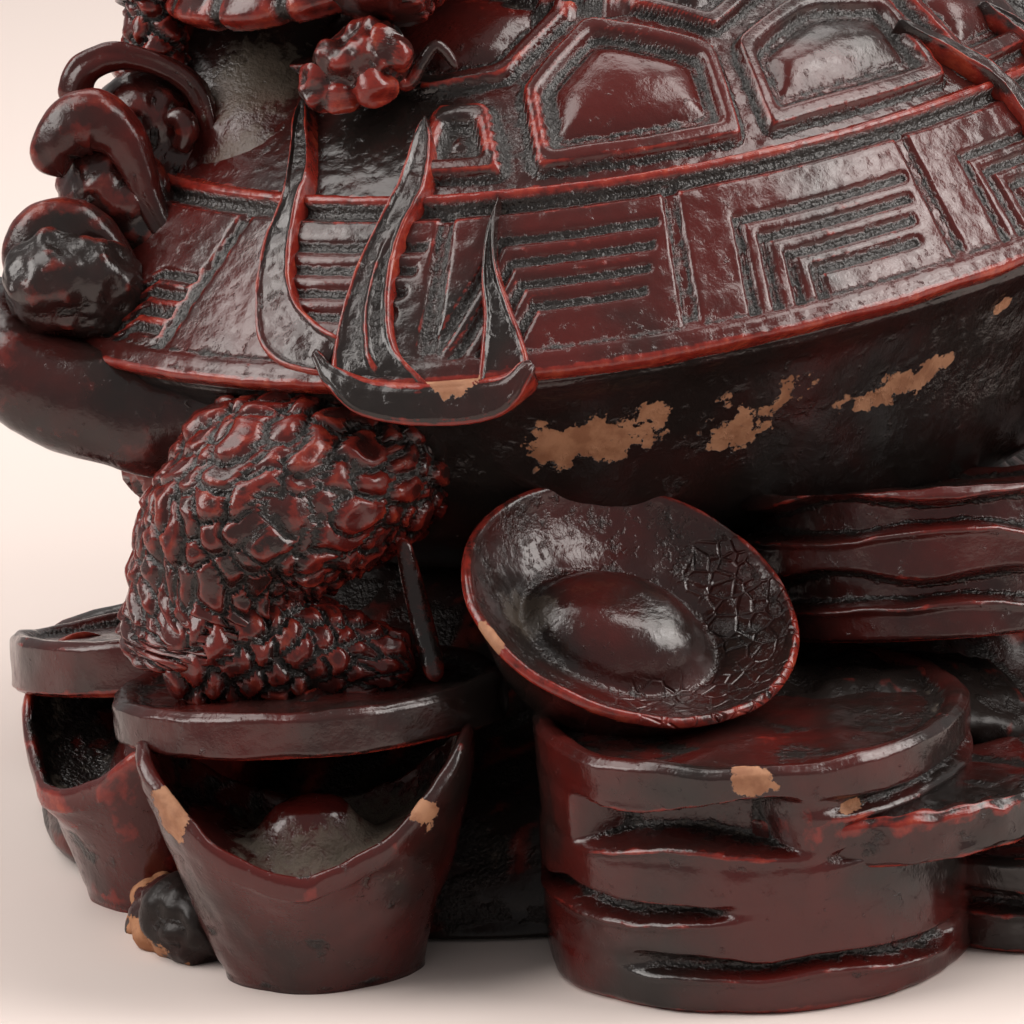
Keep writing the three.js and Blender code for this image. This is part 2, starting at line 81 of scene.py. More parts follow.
def shell_top(xy):
    """Height of the smooth shell: a straight slope in the band, and a parabola of the reach inside it."""
    x, y = xy[..., 0], xy[..., 1]
    reach = (np.abs(x / HALF_WIDTH) ** FULLNESS + np.abs(y / HALF_LENGTH) ** FULLNESS) ** (1 / FULLNESS)
    reach = np.minimum(reach, 1)
    inside = np.minimum(reach / BAND_START, 1)
    band = np.minimum((1 - reach) / (1 - BAND_START), 1)
    return rim_at(y) + band * BAND_HEIGHT + (1 - inside**2) * DOME_HEIGHT


def unit(vectors):
    """The same vectors, each one long."""
    return vectors / np.maximum(np.linalg.norm(vectors, axis=-1, keepdims=True), 1e-12)


def shell_normal(xy, step=0.4):
    """Outward direction of the smooth shell, from its slopes along X and Y."""
    dx = np.array([step, 0.0])
    dy = np.array([0.0, step])
    slope_x = (shell_top(xy + dx) - shell_top(xy - dx)) / (2 * step)
    slope_y = (shell_top(xy + dy) - shell_top(xy - dy)) / (2 * step)
    return unit(np.stack([-slope_x, -slope_y, np.ones_like(slope_x)], axis=-1))


def on_shell(angle, reach, lift=0.0):
    """Point on the shell, moved out along its normal by a lift."""
    xy = plan(angle, reach)
    flat = np.concatenate([xy, shell_top(xy)[..., None]], axis=-1)
    return flat + shell_normal(xy) * np.asarray(lift)[..., None]


def ease(value, low, high):
    """Cubic step from 0 at low to 1 at high."""
    t = np.clip((value - low) / (high - low), 0, 1)
    return t * t * (3 - 2 * t)


def lattice(cell, seed):
    """Random number between -1 and 1 for each cell of a lattice."""
    key = cell[..., 0] * 73856093 ^ cell[..., 1] * 19349663 ^ cell[..., 2] * 83492791 ^ (seed * 40503 + 7)
    key = (key ^ (key >> 13)) * 1274126177 & 0xFFFFFFFF
    return ((key ^ (key >> 15)) & 0xFFFF) / 32767.5 - 1


def grain(points, size, seed=0):
    """Smooth random field between -1 and 1: random numbers on a lattice, blended by a cubic step."""
    cell = np.floor(points / size).astype(np.int64)
    part = points / size - cell
    part = part * part * (3 - 2 * part)
    total = np.zeros(points.shape[:-1])
    for corner in np.ndindex(2, 2, 2):
        share = np.prod(np.where(np.array(corner, bool), part, 1 - part), axis=-1)
        total += share * lattice(cell + np.array(corner), seed)
    return total


def skin(rings, loop=False):
    """Closed skin over rings of points: quads between the rings, and a pole at each end or a full loop."""
    rows, count = rings.shape[:2]
    index = np.arange(rows * count).reshape(rows, count)
    turned = np.roll(index, -1, axis=1)
    after = np.roll(index, -1, axis=0)
    last = rows if loop else rows - 1
    quads = np.stack([index, turned, np.roll(after, -1, axis=1), after], axis=-1)[:last].reshape(-1, 4)
    points = rings.reshape(-1, 3)
    if loop:
        return points, quads, np.zeros((0, 3), int)
    poles = np.array([rings[0].mean(axis=0), rings[-1].mean(axis=0)])
    first = np.stack([turned[0], index[0], np.full(count, len(points))], axis=-1)
    final = np.stack([index[-1], turned[-1], np.full(count, len(points) + 1)], axis=-1)
    return np.concatenate([points, poles]), quads, np.concatenate([first, final])


def smoothed(points, start, end, passes):
    """Points moved again and again half way to the mean of their neighbours."""
    count = np.maximum(np.bincount(start, minlength=len(points)), 1)[:, None]
    for _ in range(passes):
        sums = [np.bincount(start, weights=points[end, axis], minlength=len(points)) for axis in range(3)]
        points = 0.5 * points + 0.5 * np.stack(sums, axis=-1) / count
    return points


def cast(name, parts, material, chips=(), settled=(), crazed=(), edge=0.1, rubbed=None):
    """One piece of the figure from closed skins, with its wear, grime, chips and dust as attributes.

    A point's wear is how far it stands proud of its smoothed surroundings, and its grime is how far it
    lies below them. A chip, and a patch of settled dust or crazed lacquer, is an ellipsoid: its centre and
    its half sizes. A function of the points can add wear of its own.
    """
    offset = 0
    points, quads, triangles = [], [], []
    for part_points, part_quads, part_triangles in parts:
        corner = part_points[part_quads]
        across = np.cross(corner[:, 2] - corner[:, 0], corner[:, 3] - corner[:, 1])
        if np.sum(across * corner.mean(axis=1)) < np.sum(across * part_points.mean(axis=0)):
            part_quads = part_quads[:, ::-1]
            part_triangles = part_triangles[:, ::-1]
        points.append(part_points)
        quads.append(part_quads + offset)
        triangles.append(part_triangles + offset)
        offset += len(part_points)
    points, quads, triangles = (np.concatenate(group) for group in (points, quads, triangles))

    corner = points[quads]
    face_normal = np.cross(corner[:, 2] - corner[:, 0], corner[:, 3] - corner[:, 1])
    normal = np.zeros_like(points)
    for k in range(4):
        for axis in range(3):
            normal[:, axis] += np.bincount(quads[:, k], weights=face_normal[:, axis],
                                           minlength=len(points))
    normal = unit(normal)
    start = np.concatenate([quads[:, k] for k in range(4)] + [quads[:, k] for k in (1, 2, 3, 0)])
    end = np.concatenate([quads[:, k] for k in (1, 2, 3, 0)] + [quads[:, k] for k in range(4)])
    spacing = np.mean(np.linalg.norm(points[start] - points[end], axis=-1))
    fine = smoothed(points, start, end, int(np.clip((FINE_SPREAD / spacing) ** 2, 1, 12)))
    broad = smoothed(fine, start, end, int(np.clip((BROAD_SPREAD / spacing) ** 2, 2, 60)))
    fine_proud = np.sum((points - fine) * normal, axis=-1)
    broad_proud = np.sum((points - broad) * normal, axis=-1)
    chip, dust, craze = np.zeros((3, len(points)))
    for patches, total in ((chips, chip), (settled, dust), (crazed, craze)):
        for centre, half in patches:
            away = np.linalg.norm((points - np.array(centre)) / np.array(half), axis=-1)
            total[:] = np.maximum(total, 1 - away)
    extra = rubbed(points) if rubbed else 0
    fields = {
        "wear": np.clip(fine_proud / edge + BROAD_WEAR * broad_proud / edge - WEAR_START + extra, 0, 1),
        "grime": np.clip(-FINE_GRIME * fine_proud / edge - BROAD_GRIME * broad_proud / edge, 0, 1),
        "chip": chip,
        "dust": np.clip(DUST_GAIN * dust - DUST_SHELTER * broad_proud / edge, 0, 1),
        "craze": craze,
    }

    mesh = bpy.data.meshes.new(name)
    mesh.vertices.add(len(points))
    mesh.vertices.foreach_set("co", (points * MM).astype(np.float32).ravel())
    mesh.loops.add(quads.size + triangles.size)
    mesh.loops.foreach_set("vertex_index",
                           np.concatenate([quads.ravel(), triangles.ravel()]).astype(np.int32))
    total = np.concatenate([np.full(len(quads), 4), np.full(len(triangles), 3)]).astype(np.int32)
    mesh.polygons.add(len(total))
    mesh.polygons.foreach_set("loop_start", (np.cumsum(total) - total).astype(np.int32))
    mesh.polygons.foreach_set("use_smooth", np.ones(len(total), bool))
    mesh.update(calc_edges=True)
    for label, values in fields.items():
        attribute = mesh.attributes.new(label, "FLOAT", "POINT")
        attribute.data.foreach_set("value", values.astype(np.float32))
    mesh.validate()
    piece = bpy.data.objects.new(name, mesh)
    bpy.context.collection.objects.link(piece)
    piece.data.materials.append(material)
    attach(piece, "root")
    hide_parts("dragon_turtle")
    return piece


BLACK_PAINT = (0.013, 0.0095, 0.0085, 1)
OXBLOOD = (0.066, 0.0075, 0.006, 1)
WORN_RED = (0.19, 0.017, 0.011, 1)
RUBBED_RED = (0.34, 0.055, 0.026, 1)
DUST_GREY = (0.15, 0.12, 0.09, 1)
BARE_TAN = (0.37, 0.18, 0.095, 1)
DARK_TAN = (0.25, 0.105, 0.05, 1)
CLOUD_SCALE = 70
PATCH_SCALE = 230
RIPPLE_SCALE = 260
CHIP_SCALE = 300
TAN_SCALE = 420
CRACK_SCALE = 620
SPECK_SCALE = 900
GRIT_SCALE = 2600
RESIN_IOR = 1.5
BUMP_STRENGTH = 0.7
BUMP_HEIGHT = 0.0003


def lacquer(name, red=0.5, worn=1.0, dusty=1.0, crackle=0.0, gloss=0.17, ripple=1.0, shine=0.5):
    """Lacquer over paint: cloudy red and black, bright edges, black recesses, dust, and resin in chips."""
    material = bpy.data.materials.new(name)
    material.use_nodes = True
    nodes = material.node_tree.nodes
    links = material.node_tree.links
    shader = nodes["Principled BSDF"]
    coordinates = nodes.new("ShaderNodeTexCoord").outputs["Object"]

    def noise(scale, detail=3.0, rough=0.55):
        node = nodes.new("ShaderNodeTexNoise")
        node.inputs["Scale"].default_value = scale
        node.inputs["Detail"].default_value = detail
        node.inputs["Roughness"].default_value = rough
        links.new(coordinates, node.inputs["Vector"])
        return node.outputs["Fac"]

    def field(label):
        node = nodes.new("ShaderNodeAttribute")
        node.attribute_name = label
        return node.outputs["Fac"]

    def maths(operation, first, second, third=None):
        node = nodes.new("ShaderNodeMath")
        node.operation = operation
        for socket, value in zip(node.inputs, (first, second, third)):
            if isinstance(value, (int, float)):
                socket.default_value = value
            elif value is not None:
                links.new(value, socket)
        return node.outputs[0]

    def step(value, low, high, out_low=0.0, out_high=1.0):
        node = nodes.new("ShaderNodeMapRange")
        node.interpolation_type = "SMOOTHSTEP"
        links.new(value, node.inputs["Value"])
        for socket, number in zip(list(node.inputs)[1:5], (low, high, out_low, out_high)):
            socket.default_value = number
        return node.outputs["Result"]

    def blend(share, low, high):
        node = nodes.new("ShaderNodeMix")
        node.data_type = "RGBA"
        links.new(share, node.inputs["Factor"])
        for socket, colour in ((node.inputs["A"], low), (node.inputs["B"], high)):
            if isinstance(colour, tuple):
                socket.default_value = colour
            else:
                links.new(colour, socket)
        return node.outputs["Result"]

    cloud = noise(CLOUD_SCALE, 4)
    speck = noise(SPECK_SCALE, 4, 0.65)
    fine = noise(GRIT_SCALE, 2)
    wander = maths("MULTIPLY_ADD", maths("SUBTRACT", speck, 0.5), 1.3, 0.0)
    patchy = maths("MULTIPLY_ADD", noise(PATCH_SCALE, 4, 0.6), 1.4, -0.7)
    wear = maths("ADD", field("wear"), wander)
    grime = maths("ADD", field("grime"), wander)
    dust = maths("ADD", field("dust"), maths("MULTIPLY", wander, 1.3))
    chip = maths("ADD", field("chip"), maths("MULTIPLY_ADD", noise(CHIP_SCALE, 6, 0.68), 2.4, -1.2))
    rubbed = step(maths("ADD", wear, patchy), 0.95, 1.45, 0.0, 0.9 * worn)
    wear = step(maths("ADD", wear, maths("MULTIPLY", patchy, 0.6)), 0.5, 1.0, 0.0, worn)
    grime = step(grime, 0.12, 0.6)
    dust = step(dust, 0.35, 1.0, 0.0, 0.75 * dusty)
    chip = maths("MULTIPLY", step(chip, 0.36, 0.4), step(field("chip"), 0.0, 0.12))
    base = blend(step(cloud, 0.5 - 0.32 * red, 1.0 - 0.55 * red), BLACK_PAINT, OXBLOOD)
    base = blend(grime, base, BLACK_PAINT)
    base = blend(wear, base, WORN_RED)
    base = blend(rubbed, base, RUBBED_RED)
    base = blend(dust, base, DUST_GREY)
    tan = blend(step(noise(TAN_SCALE, 4, 0.6), 0.4, 0.65), BARE_TAN, DARK_TAN)
    links.new(blend(chip, base, tan), shader.inputs["Base Color"])

    rough = maths("ADD", step(speck, 0.3, 0.75, gloss - 0.04, gloss + 0.08),
                  maths("MULTIPLY", dust, 0.55))
    rough = maths("ADD", rough, maths("MULTIPLY", grime, 0.12))
    rough = maths("ADD", rough, maths("MULTIPLY", chip, 0.5))
    links.new(maths("MINIMUM", rough, 0.9), shader.inputs["Roughness"])
    shader.inputs["IOR"].default_value = RESIN_IOR
    shader.inputs["Specular IOR Level"].default_value = shine

    height = maths("MULTIPLY", speck, 0.35 * ripple)
    height = maths("ADD", height, maths("MULTIPLY", noise(RIPPLE_SCALE, 2), 0.5 * ripple))
    grit = maths("MULTIPLY", maths("MAXIMUM", grime, dust), fine)
    height = maths("ADD", height, maths("MULTIPLY", grit, 1.2))
    height = maths("ADD", height, maths("MULTIPLY", chip, -1.2))
    if crackle > 0:
        cells = nodes.new("ShaderNodeTexVoronoi")
        cells.feature = "DISTANCE_TO_EDGE"
        cells.inputs["Scale"].default_value = CRACK_SCALE
        links.new(coordinates, cells.inputs["Vector"])
        crack = step(cells.outputs["Distance"], 0.0, 0.12, crackle, 0.0)
        crack = maths("MULTIPLY", crack, step(field("craze"), 0.1, 0.5))
        height = maths("ADD", height, maths("MULTIPLY", crack, -1.0))
    bump = nodes.new("ShaderNodeBump")
    bump.inputs["Strength"].default_value = BUMP_STRENGTH
    bump.inputs["Distance"].default_value = BUMP_HEIGHT
    links.new(height, bump.inputs["Height"])
    links.new(bump.outputs["Normal"], shader.inputs["Normal"])
    return material


SIDE_SCUTES = [
    [(108.5, 0.785), (119.5, 0.785), (115.5, 0.66), (108, 0.66)],
    [(122.5, 0.785), (135, 0.785), (147, 0.785), (147.3, 0.61), (126, 0.505), (118.5, 0.64)],
    [(150, 0.785), (166, 0.785), (181.5, 0.785), (185.5, 0.6), (167.5, 0.545), (150, 0.61)],
    [(185.5, 0.785), (199, 0.785), (212.5, 0.785), (214.5, 0.63), (202.5, 0.545), (188.5, 0.6)],
    [(215.5, 0.785), (228, 0.785), (239.5, 0.785), (241.5, 0.65), (231, 0.515), (217.5, 0.63)],
    [(242.5, 0.785), (253, 0.785), (252.5, 0.66), (244.5, 0.66)],
]
MIDDLE_SCUTES = [
    [(106, 0.64), (116.5, 0.62), (125.5, 0.475)],
    [(127.5, 0.475), (148.4, 0.585), (166, 0.515)],
    [(169, 0.515), (187, 0.575), (201.5, 0.515)],
    [(204.5, 0.515), (216, 0.6), (230, 0.485)],
    [(232.5, 0.485), (243, 0.625), (254, 0.64)],
]
outlines = []
for outline in SIDE_SCUTES:
    right = [plan(angle, reach) for angle, reach in outline]
    outlines += [right, [p * (-1, 1) for p in reversed(right)]]
for outline in MIDDLE_SCUTES:
    right = [plan(angle, reach) for angle, reach in outline]
    outlines.append(right + [p * (-1, 1) for p in reversed(right)])


def depth_inside(xy, corners, blunt=0.3):
    """Distance inside a convex outline: a soft least of the distances to its sides, for round corners."""
    total = np.zeros(xy.shape[:-1])
    turn = np.sign(sum(a[0] * b[1] - a[1] * b[0] for a, b in zip(corners, corners[1:] + corners[:1])))
    for a, b in zip(corners, corners[1:] + corners[:1]):
        side = unit(b - a)
        inward = turn * np.array([-side[1], side[0]])
        total += np.exp(-np.clip((xy - a) @ inward, -30, 30) / blunt)
    return -blunt * np.log(total)


def warped_angles(count, focus=150.0, crowding=0.5):
    """Directions round the shell in degrees, closer together near the focus."""
    turn = np.linspace(0, 2 * np.pi, count, endpoint=False)
    return np.degrees(turn - crowding * np.sin(turn - np.radians(focus)))


angles = warped_angles(500)[None, :]
reaches = np.concatenate([np.linspace(0.8, 0.5, 78), np.linspace(0.497, 0.012, 24)])[:, None]
flat = plan(angles, reaches)
inside = np.max([depth_inside(flat, corners) for corners in outlines], axis=0)
smooth = on_shell(angles, reaches, np.zeros_like(inside))
border_end = SCUTE_BORDER
groove_end = SCUTE_BORDER + SCUTE_GROOVE
border = ease(inside, 0, 0.45) - ease(inside, border_end - 0.3, border_end + 0.35)
relief = -SCUTE_DEPTH + (SCUTE_DEPTH + 0.55) * border
relief += (SCUTE_RISE + 0.35) * (1 - np.exp(-np.maximum(inside - groove_end + 0.5, 0) / 1.4))
relief += 0.12 * ease(inside, 0.1, 0.5) * (1 - ease(inside, 1.1, 1.6))
in_groove = ease(inside, border_end, border_end + 0.3) * (1 - ease(inside, groove_end, groove_end + 0.5))
in_groove = 1 - ease(inside, -0.1, 0.3) + in_groove
relief += 0.07 * in_groove * grain(smooth, 0.7, 3) + 0.06 * grain(smooth, 2.2, 4)
top_rows = on_shell(angles, reaches, relief)
level_row = np.ones((1, angles.size))
under = [on_shell(angles, np.full((1, 1), reach), -DOME_SKIN * level_row) for reach in (0.3, 0.6, 0.78)]
edge_row = on_shell(angles, np.full((1, 1), DOME_EDGE), -1.6 * level_row)
dome = np.concatenate([*under, edge_row, top_rows])
shell_lacquer = lacquer("shell_lacquer", red=0.62)
cast("shell_dome", [skin(dome)], shell_lacquer)

# The band of panels and the lip
# The band runs round the shell between a thin worn ridge and the lip. Grooves part it into panels, and
# each panel holds four nested right-angled grooves, with a wide plain strip behind and above them.
BARS = [92, 114.5, 137.2, 168, 191.5, 216, 240, 264]
FIRST_LINES = [4.3, 4.3, 5.6, 5.6, 5.2, 5.0, 5.0, 5.0]
LINE_STEP = 2.0
LINE_WIDTH = 0.38
LINE_DEPTH = 0.5
SLANTS = [0.45, 0.45, 0.0, 0.0, 0.0, 0.0, 0.0, 0.0]
BAR_WIDTH = 0.62
REAR_BAR = 92.0
REAR_BAR_SLANT = 0.25
REAR_CORNER = 77.4
REAR_SLANT = 0.95
REAR_FIRST = 8.0
REAR_STEP = 1.6
REAR_BAR_WIDTH = 0.5
REAR_LINE_WIDTH = 0.34
REAR_PANEL_START = 70
REAR_PANEL_END = 97
TONGUE_LEAN = 75
TONGUE_FOOT = 0.88
RIDGE_REACH = 0.812
SLOPE_LENGTH = 84.5
LIP_DROP = 1.2


def line_profile(distance, half_width, soft=0.28):
    """1 within half a width of a line, easing to 0 beyond it."""
    return 1 - ease(np.abs(distance), half_width - soft / 2, half_width + soft)


angles = warped_angles(780)[None, :]
reaches = np.linspace(0.797, 1.0, 52)[:, None]
plane = plan(angles, reaches)
smooth = on_shell(angles, reaches, np.zeros(plane.shape[:-1]))
down = (reaches - RIDGE_REACH) * SLOPE_LENGTH + 0 * angles
folded = np.where(np.cos(np.radians(angles)) > 0, 180 - angles, angles) % 360
folded = folded + 0 * reaches
fine_angle = np.arange(85.0, 275.0, 0.1)
rim_line = plan(fine_angle, 0.9)
arc = np.concatenate([[0], np.cumsum(np.linalg.norm(np.diff(rim_line, axis=0), axis=1))])
along = np.interp(folded, fine_angle, arc)
relief = 0.5 * line_profile(down, 0.42)
relief = relief - 0.5 * line_profile(down + 1.15, 0.35) - 0.5 * line_profile(down - 1.2, 0.45)
relief += 0.25 * ease(down, 1.7, 2.2)
lines = np.zeros_like(relief)
bar_places = np.interp(BARS, fine_angle, arc)
for bar in bar_places:
    leaning = along - bar - 0.05 * (down - 7)
    lines = np.maximum(lines, line_profile(leaning, BAR_WIDTH) * (1 - ease(down, 13.2, 14.4))
                       * ease(down, 1.2, 1.8))
for k, bar in enumerate(bar_places):
    ahead = bar_places[k + 1] if k + 1 < len(bar_places) else bar + 20
    forward = along - bar + SLANTS[k] * (down - 6)
    nested = np.minimum(forward, down)
    here = (along > bar + 1.2) & (along < ahead - 0.5)
    for n in range(4):
        groove = line_profile(nested - FIRST_LINES[k] - LINE_STEP * n,
                              LINE_WIDTH) * (1 - ease(down, 14.0, 14.6))
        groove = groove * (1 - ease(along, ahead - 1.9 - 0.5 * n, ahead - 1.2 - 0.5 * n))
        lines = np.maximum(lines, np.where(here, groove, 0))
whole = angles % 360 + 0 * reaches
rear_angle = np.arange(60.0, 120.0, 0.1)
rear_line = plan(rear_angle, 0.9)
rear_arc = np.concatenate([[0], np.cumsum(np.linalg.norm(np.diff(rear_line, axis=0), axis=1))])
place, corner_place, bar_place = (np.interp(a, rear_angle, rear_arc)
                                  for a in (whole, REAR_CORNER, REAR_BAR))
from_bar = bar_place - place - REAR_BAR_SLANT * down
nested = np.minimum(place - corner_place + REAR_SLANT * (down - 6), down)
rear_lines = line_profile(from_bar, REAR_BAR_WIDTH)
for n in range(4):
    line = line_profile(nested - REAR_FIRST - REAR_STEP * n, REAR_LINE_WIDTH)
    rear_lines = np.maximum(rear_lines, line * (from_bar > 1.1))
rear_lines = rear_lines * (1 - ease(down, 14.0, 14.6)) * ease(down, 1.2, 1.8)
beside_tongue = REAR_PANEL_END + TONGUE_LEAN * np.maximum(reaches - TONGUE_FOOT, 0)
lines = np.where((whole > REAR_PANEL_START) & (whole < beside_tongue), rear_lines, lines)
relief -= LINE_DEPTH * lines
relief += 0.07 * lines * grain(smooth, 0.5, 5) + 0.05 * grain(smooth, 1.6, 6) + 0.05 * grain(smooth, 0.8,
                                                                                             7)
relief += 0.35 * ease(down, 14.2, 14.9)
top_rows = on_shell(angles, reaches, relief)
outward = unit(top_rows[-1] - top_rows[-3])
outward[:, 2] = 0
outward = unit(outward)
lip_rows = []
for t in np.linspace(0.2, 1.0, 6):
    row = top_rows[-1] + outward * (0.4 * np.sin(np.pi * t) ** 0.7)
    row[:, 2] -= LIP_DROP * t + 0.25 * grain(row * (1, 1, 0), 6.0, 8) * t
    lip_rows.append(row)
inner_rows = []
for reach, drop in ((0.965, LIP_DROP + 0.8), (0.93, LIP_DROP + 1.2), (0.87, 1.0), (0.8, -5.0)):
    xy = plan(angles[0], reach)
    inner_rows.append(np.concatenate([xy, (rim_at(xy[:, 1]) - drop)[:, None]], axis=1))
band = np.concatenate([top_rows, np.array(lip_rows), np.array(inner_rows)])
band_lacquer = lacquer("band_lacquer", red=0.75)


def lip_wear(points):
    """Wear along the lip, which sticks out furthest."""
    directions = np.degrees(np.arctan2(points[:, 1], points[:, 0]))
    outer = np.linalg.norm(points[:, :2], axis=1) > 0.985 * np.linalg.norm(plan(directions, 1.0), axis=1)
    return 0.75 * outer * np.exp(-(((points[:, 2] - rim_at(points[:, 1]) + 0.1) / 0.8) ** 2))


cast("shell_band", [skin(band, loop=True)], band_lacquer, rubbed=lip_wear)

# The flames over the haunches
# Three tongues of flame rise from each haunch over the band, channelled between thin worn rims, and a
# smooth crescent below the lip joins them. They are carved on the model and cast with the shell.
TONGUE_RISE = 1.3
TONGUE_RIM = 0.42
CHANNEL_DEPTH = 0.36
MIDDLE_RIDGE = 0.5
FLAME_TURNS = [(0.0, False), (91.5, False), (19.0, True), (91.5, True)]
REAR_TONGUE = (
    [(88.6, 0.67, 0), (89.4, 0.698, 0), (92.7, 0.75, 0), (95.5, 0.815, 0), (95.7, 0.853, 0),
     (96.3, 0.887, 0), (97.4, 0.925, 0), (99.4, 0.967, 0), (102.3, 0.988, 0.2), (106.4, 0.995, 0.6)],
    [(89.6, 0.668, 0), (91.9, 0.69, 0), (97.1, 0.772, 0), (98.4, 0.82, 0), (99.6, 0.874, 0),
     (101, 0.908, 0), (102.6, 0.928, 0), (104.2, 0.939, 0), (105.4, 0.947, 0), (107.2, 0.957, 0)],
)
MAIN_TONGUE = (
    [(108.0, 0.69, 0), (107.6, 0.716, 0), (108.0, 0.762, 0), (108.1, 0.803, 0), (107.3, 0.847, 0),
     (106.6, 0.89, 0), (106.4, 0.937, 0), (106.6, 0.964, 0), (106.9, 0.99, 0), (107.6, 1.0, 1.0)],
    [(108.7, 0.69, 0), (110.4, 0.724, 0), (111.5, 0.77, 0), (111.8, 0.807, 0), (110.9, 0.845, 0),
     (110.6, 0.88, 0), (111.1, 0.925, 0), (112.3, 0.966, 0), (113.8, 0.987, 0), (116.2, 1.0, 0.6)],
)
FRONT_TONGUE = (
    [(119.0, 0.822, 0), (118.3, 0.855, 0), (118.4, 0.889, 0), (118.6, 0.913, 0), (119.1, 0.942, 0),
     (119.2, 0.97, 0), (119.2, 1.0, 0.6)],
    [(119.6, 0.82, 0), (119.6, 0.85, 0), (119.8, 0.875, 0), (120.4, 0.899, 0), (121.6, 0.932, 0),
     (123.0, 0.97, 0), (124.0, 1.0, 0.6)],
)
CRESCENT = (
    [(105.2, 0.985, 0), (107.4, 1.01, 1.0), (109.4, 1.02, 2.2), (112.4, 1.02, 3.2), (116, 1.02, 3.7),
     (119.4, 1.02, 3.7), (121.6, 1.02, 3.2), (123.0, 1.02, 2.2), (124.0, 1.012, 1.0), (124.2, 1.0, 0.3)],
    [(105.6, 0.97, 0), (107.6, 0.985, 0), (110.5, 0.994, 0), (113.8, 0.998, 0), (116, 0.998, 0),
     (118.4, 0.998, 0), (120.4, 0.998, 0), (121.8, 0.996, 0), (122.8, 0.992, 0), (123.4, 0.99, 0)],
)


def smooth_path(points, count):
    """Points along a Catmull-Rom curve through the given ones, a cubic between each two."""
    points = np.asarray(points, float)
    padded = np.concatenate([2 * points[:1] - points[1:2], points, 2 * points[-1:] - points[-2:-1]])
    t = np.linspace(0, len(points) - 1, count)
    k = np.minimum(t.astype(int), len(points) - 2)
    t = (t - k).reshape([-1] + [1] * (points.ndim - 1))
    p0, p1, p2, p3 = (padded[k + i] for i in range(4))
    return 0.5 * (2 * p1 + (p2 - p0) * t + (2 * p0 - 5 * p1 + 4 * p2 - p3) * t**2
                  + (3 * p1 - p0 - 3 * p2 + p3) * t**3)


def rim_point(place, turn, mirrored):
    """Points of a flame's rim from directions, reaches, and drops below the lip."""
    angle = place[:, 0] + turn
    xy = plan(180 - angle if mirrored else angle, place[:, 1])
    return np.concatenate([xy, (shell_top(xy) - place[:, 2])[:, None]], axis=1)


def ribbon(left, right, turn, mirrored, rise, rim, channel, steps=100, span=26, ridge=0.0):
    """A raised ribbon between two rims on the shell, with a channel, and a ridge along its foot."""
    left = rim_point(smooth_path(left, steps), turn, mirrored)
    right = rim_point(smooth_path(right, steps), turn, mirrored)
    middle = (left + right) / 2
    across = right - left
    half = np.linalg.norm(across, axis=1, keepdims=True) / 2
    lift = shell_normal(middle[:, :2])
    over = ease(rim_at(middle[:, 1]) - middle[:, 2], -1.0, 1.5)[:, None]
    level = unit(middle * (1, 1, 0))
    lift = unit(lift * (1 - over) + level * over)
    s = np.linspace(-1, 1, span)[None, :]
    edge = half * (1 - np.abs(s))
    height = rise * ease(edge, -0.1, 0.4) - channel * ease(edge, rim, rim + 0.5)
    height -= 0.9 * (1 - ease(edge, 0, 0.12))
    t = np.linspace(0, 1, steps)[:, None]
    crown = ridge * np.exp(-(((half * s - 0.3) / 0.4) ** 2))
    height += crown * ease(t, 0.42, 0.6) * (1 - ease(t, 0.86, 0.97))
    surface = middle[:, None] + 0.5 * across[:, None] * s[..., None]
    height = height + 0.1 * grain(surface, 1.3, 11) + 0.05 * grain(surface, 0.6, 12)
    top = surface + lift[:, None] * height[..., None]
    under = np.array([0.8, 0, -0.8])[None, :, None]
    below = middle[:, None] + 0.5 * across[:, None] * under - 1.6 * lift[:, None]
    return skin(np.concatenate([top, below], axis=1))


flames = []
for turn, mirrored in FLAME_TURNS:
    steps, span = (40, 14) if mirrored else (96, 24)
    depth = 0.0 if turn > 90 else CHANNEL_DEPTH
    flames.append(ribbon(*REAR_TONGUE, turn, mirrored, TONGUE_RISE, TONGUE_RIM, depth, steps, span))
    flames.append(ribbon(*MAIN_TONGUE, turn, mirrored, TONGUE_RISE, TONGUE_RIM, CHANNEL_DEPTH, steps,
                         span, MIDDLE_RIDGE))
    flames.append(ribbon(*FRONT_TONGUE, turn, mirrored, TONGUE_RISE, TONGUE_RIM, CHANNEL_DEPTH, steps,
                         span))
    flames.append(ribbon(*CRESCENT, turn, mirrored, 1.3, 0.5, -0.25, steps, span))
FLAME_CHIPS = [((-27.6, 52.4, 48.6), (3.8, 3.4, 2.4))]
cast("haunch_flames", flames, lacquer("flame_lacquer", red=0.35, worn=1.0), chips=FLAME_CHIPS)

# The body
# Below the lip the body is a smooth bowl under thick dark lacquer, brushed on unevenly. The lacquer has
# flaked off to the tan resin in three long patches in front of the rear right leg.
BELLY_HEIGHT = 26.0
WALL_REACH = [0.10, 0.56, 0.73, 0.82, 0.885, 0.935, 0.968, 0.985, 0.97, 0.8, 0.3]
WALL_SHARE = [-0.05, -0.03, 0.1, 0.3, 0.59, 0.80, 0.885, 0.93, 0.97, 1.0, 1.0]
FLAKES = [
    ((-29.0, 39.3, 41.0), (10.5, 9.5, 2.9)), ((-31.8, 35.6, 43.6), (5.4, 5.4, 2.6)),
    ((-26.6, 41.4, 43.0), (4.4, 4.4, 2.2)), ((-36.4, 27.4, 41.2), (4.8, 5.4, 4.4)),
    ((-38.0, 24.2, 43.4), (4.0, 4.4, 2.8)), ((-39.7, 15.6, 40.6), (4.6, 6.0, 1.9)),
    ((-41.8, 12.0, 41.2), (4.6, 6.0, 1.7)), ((-43.4, 9.0, 42.2), (3.6, 4.4, 1.5)),
    ((-44.6, 2.0, 46.8), (2.4, 1.8, 1.6)),
]
angles = warped_angles(300)
profile = smooth_path(np.stack([WALL_REACH, WALL_SHARE], axis=1), 60)
rings = []
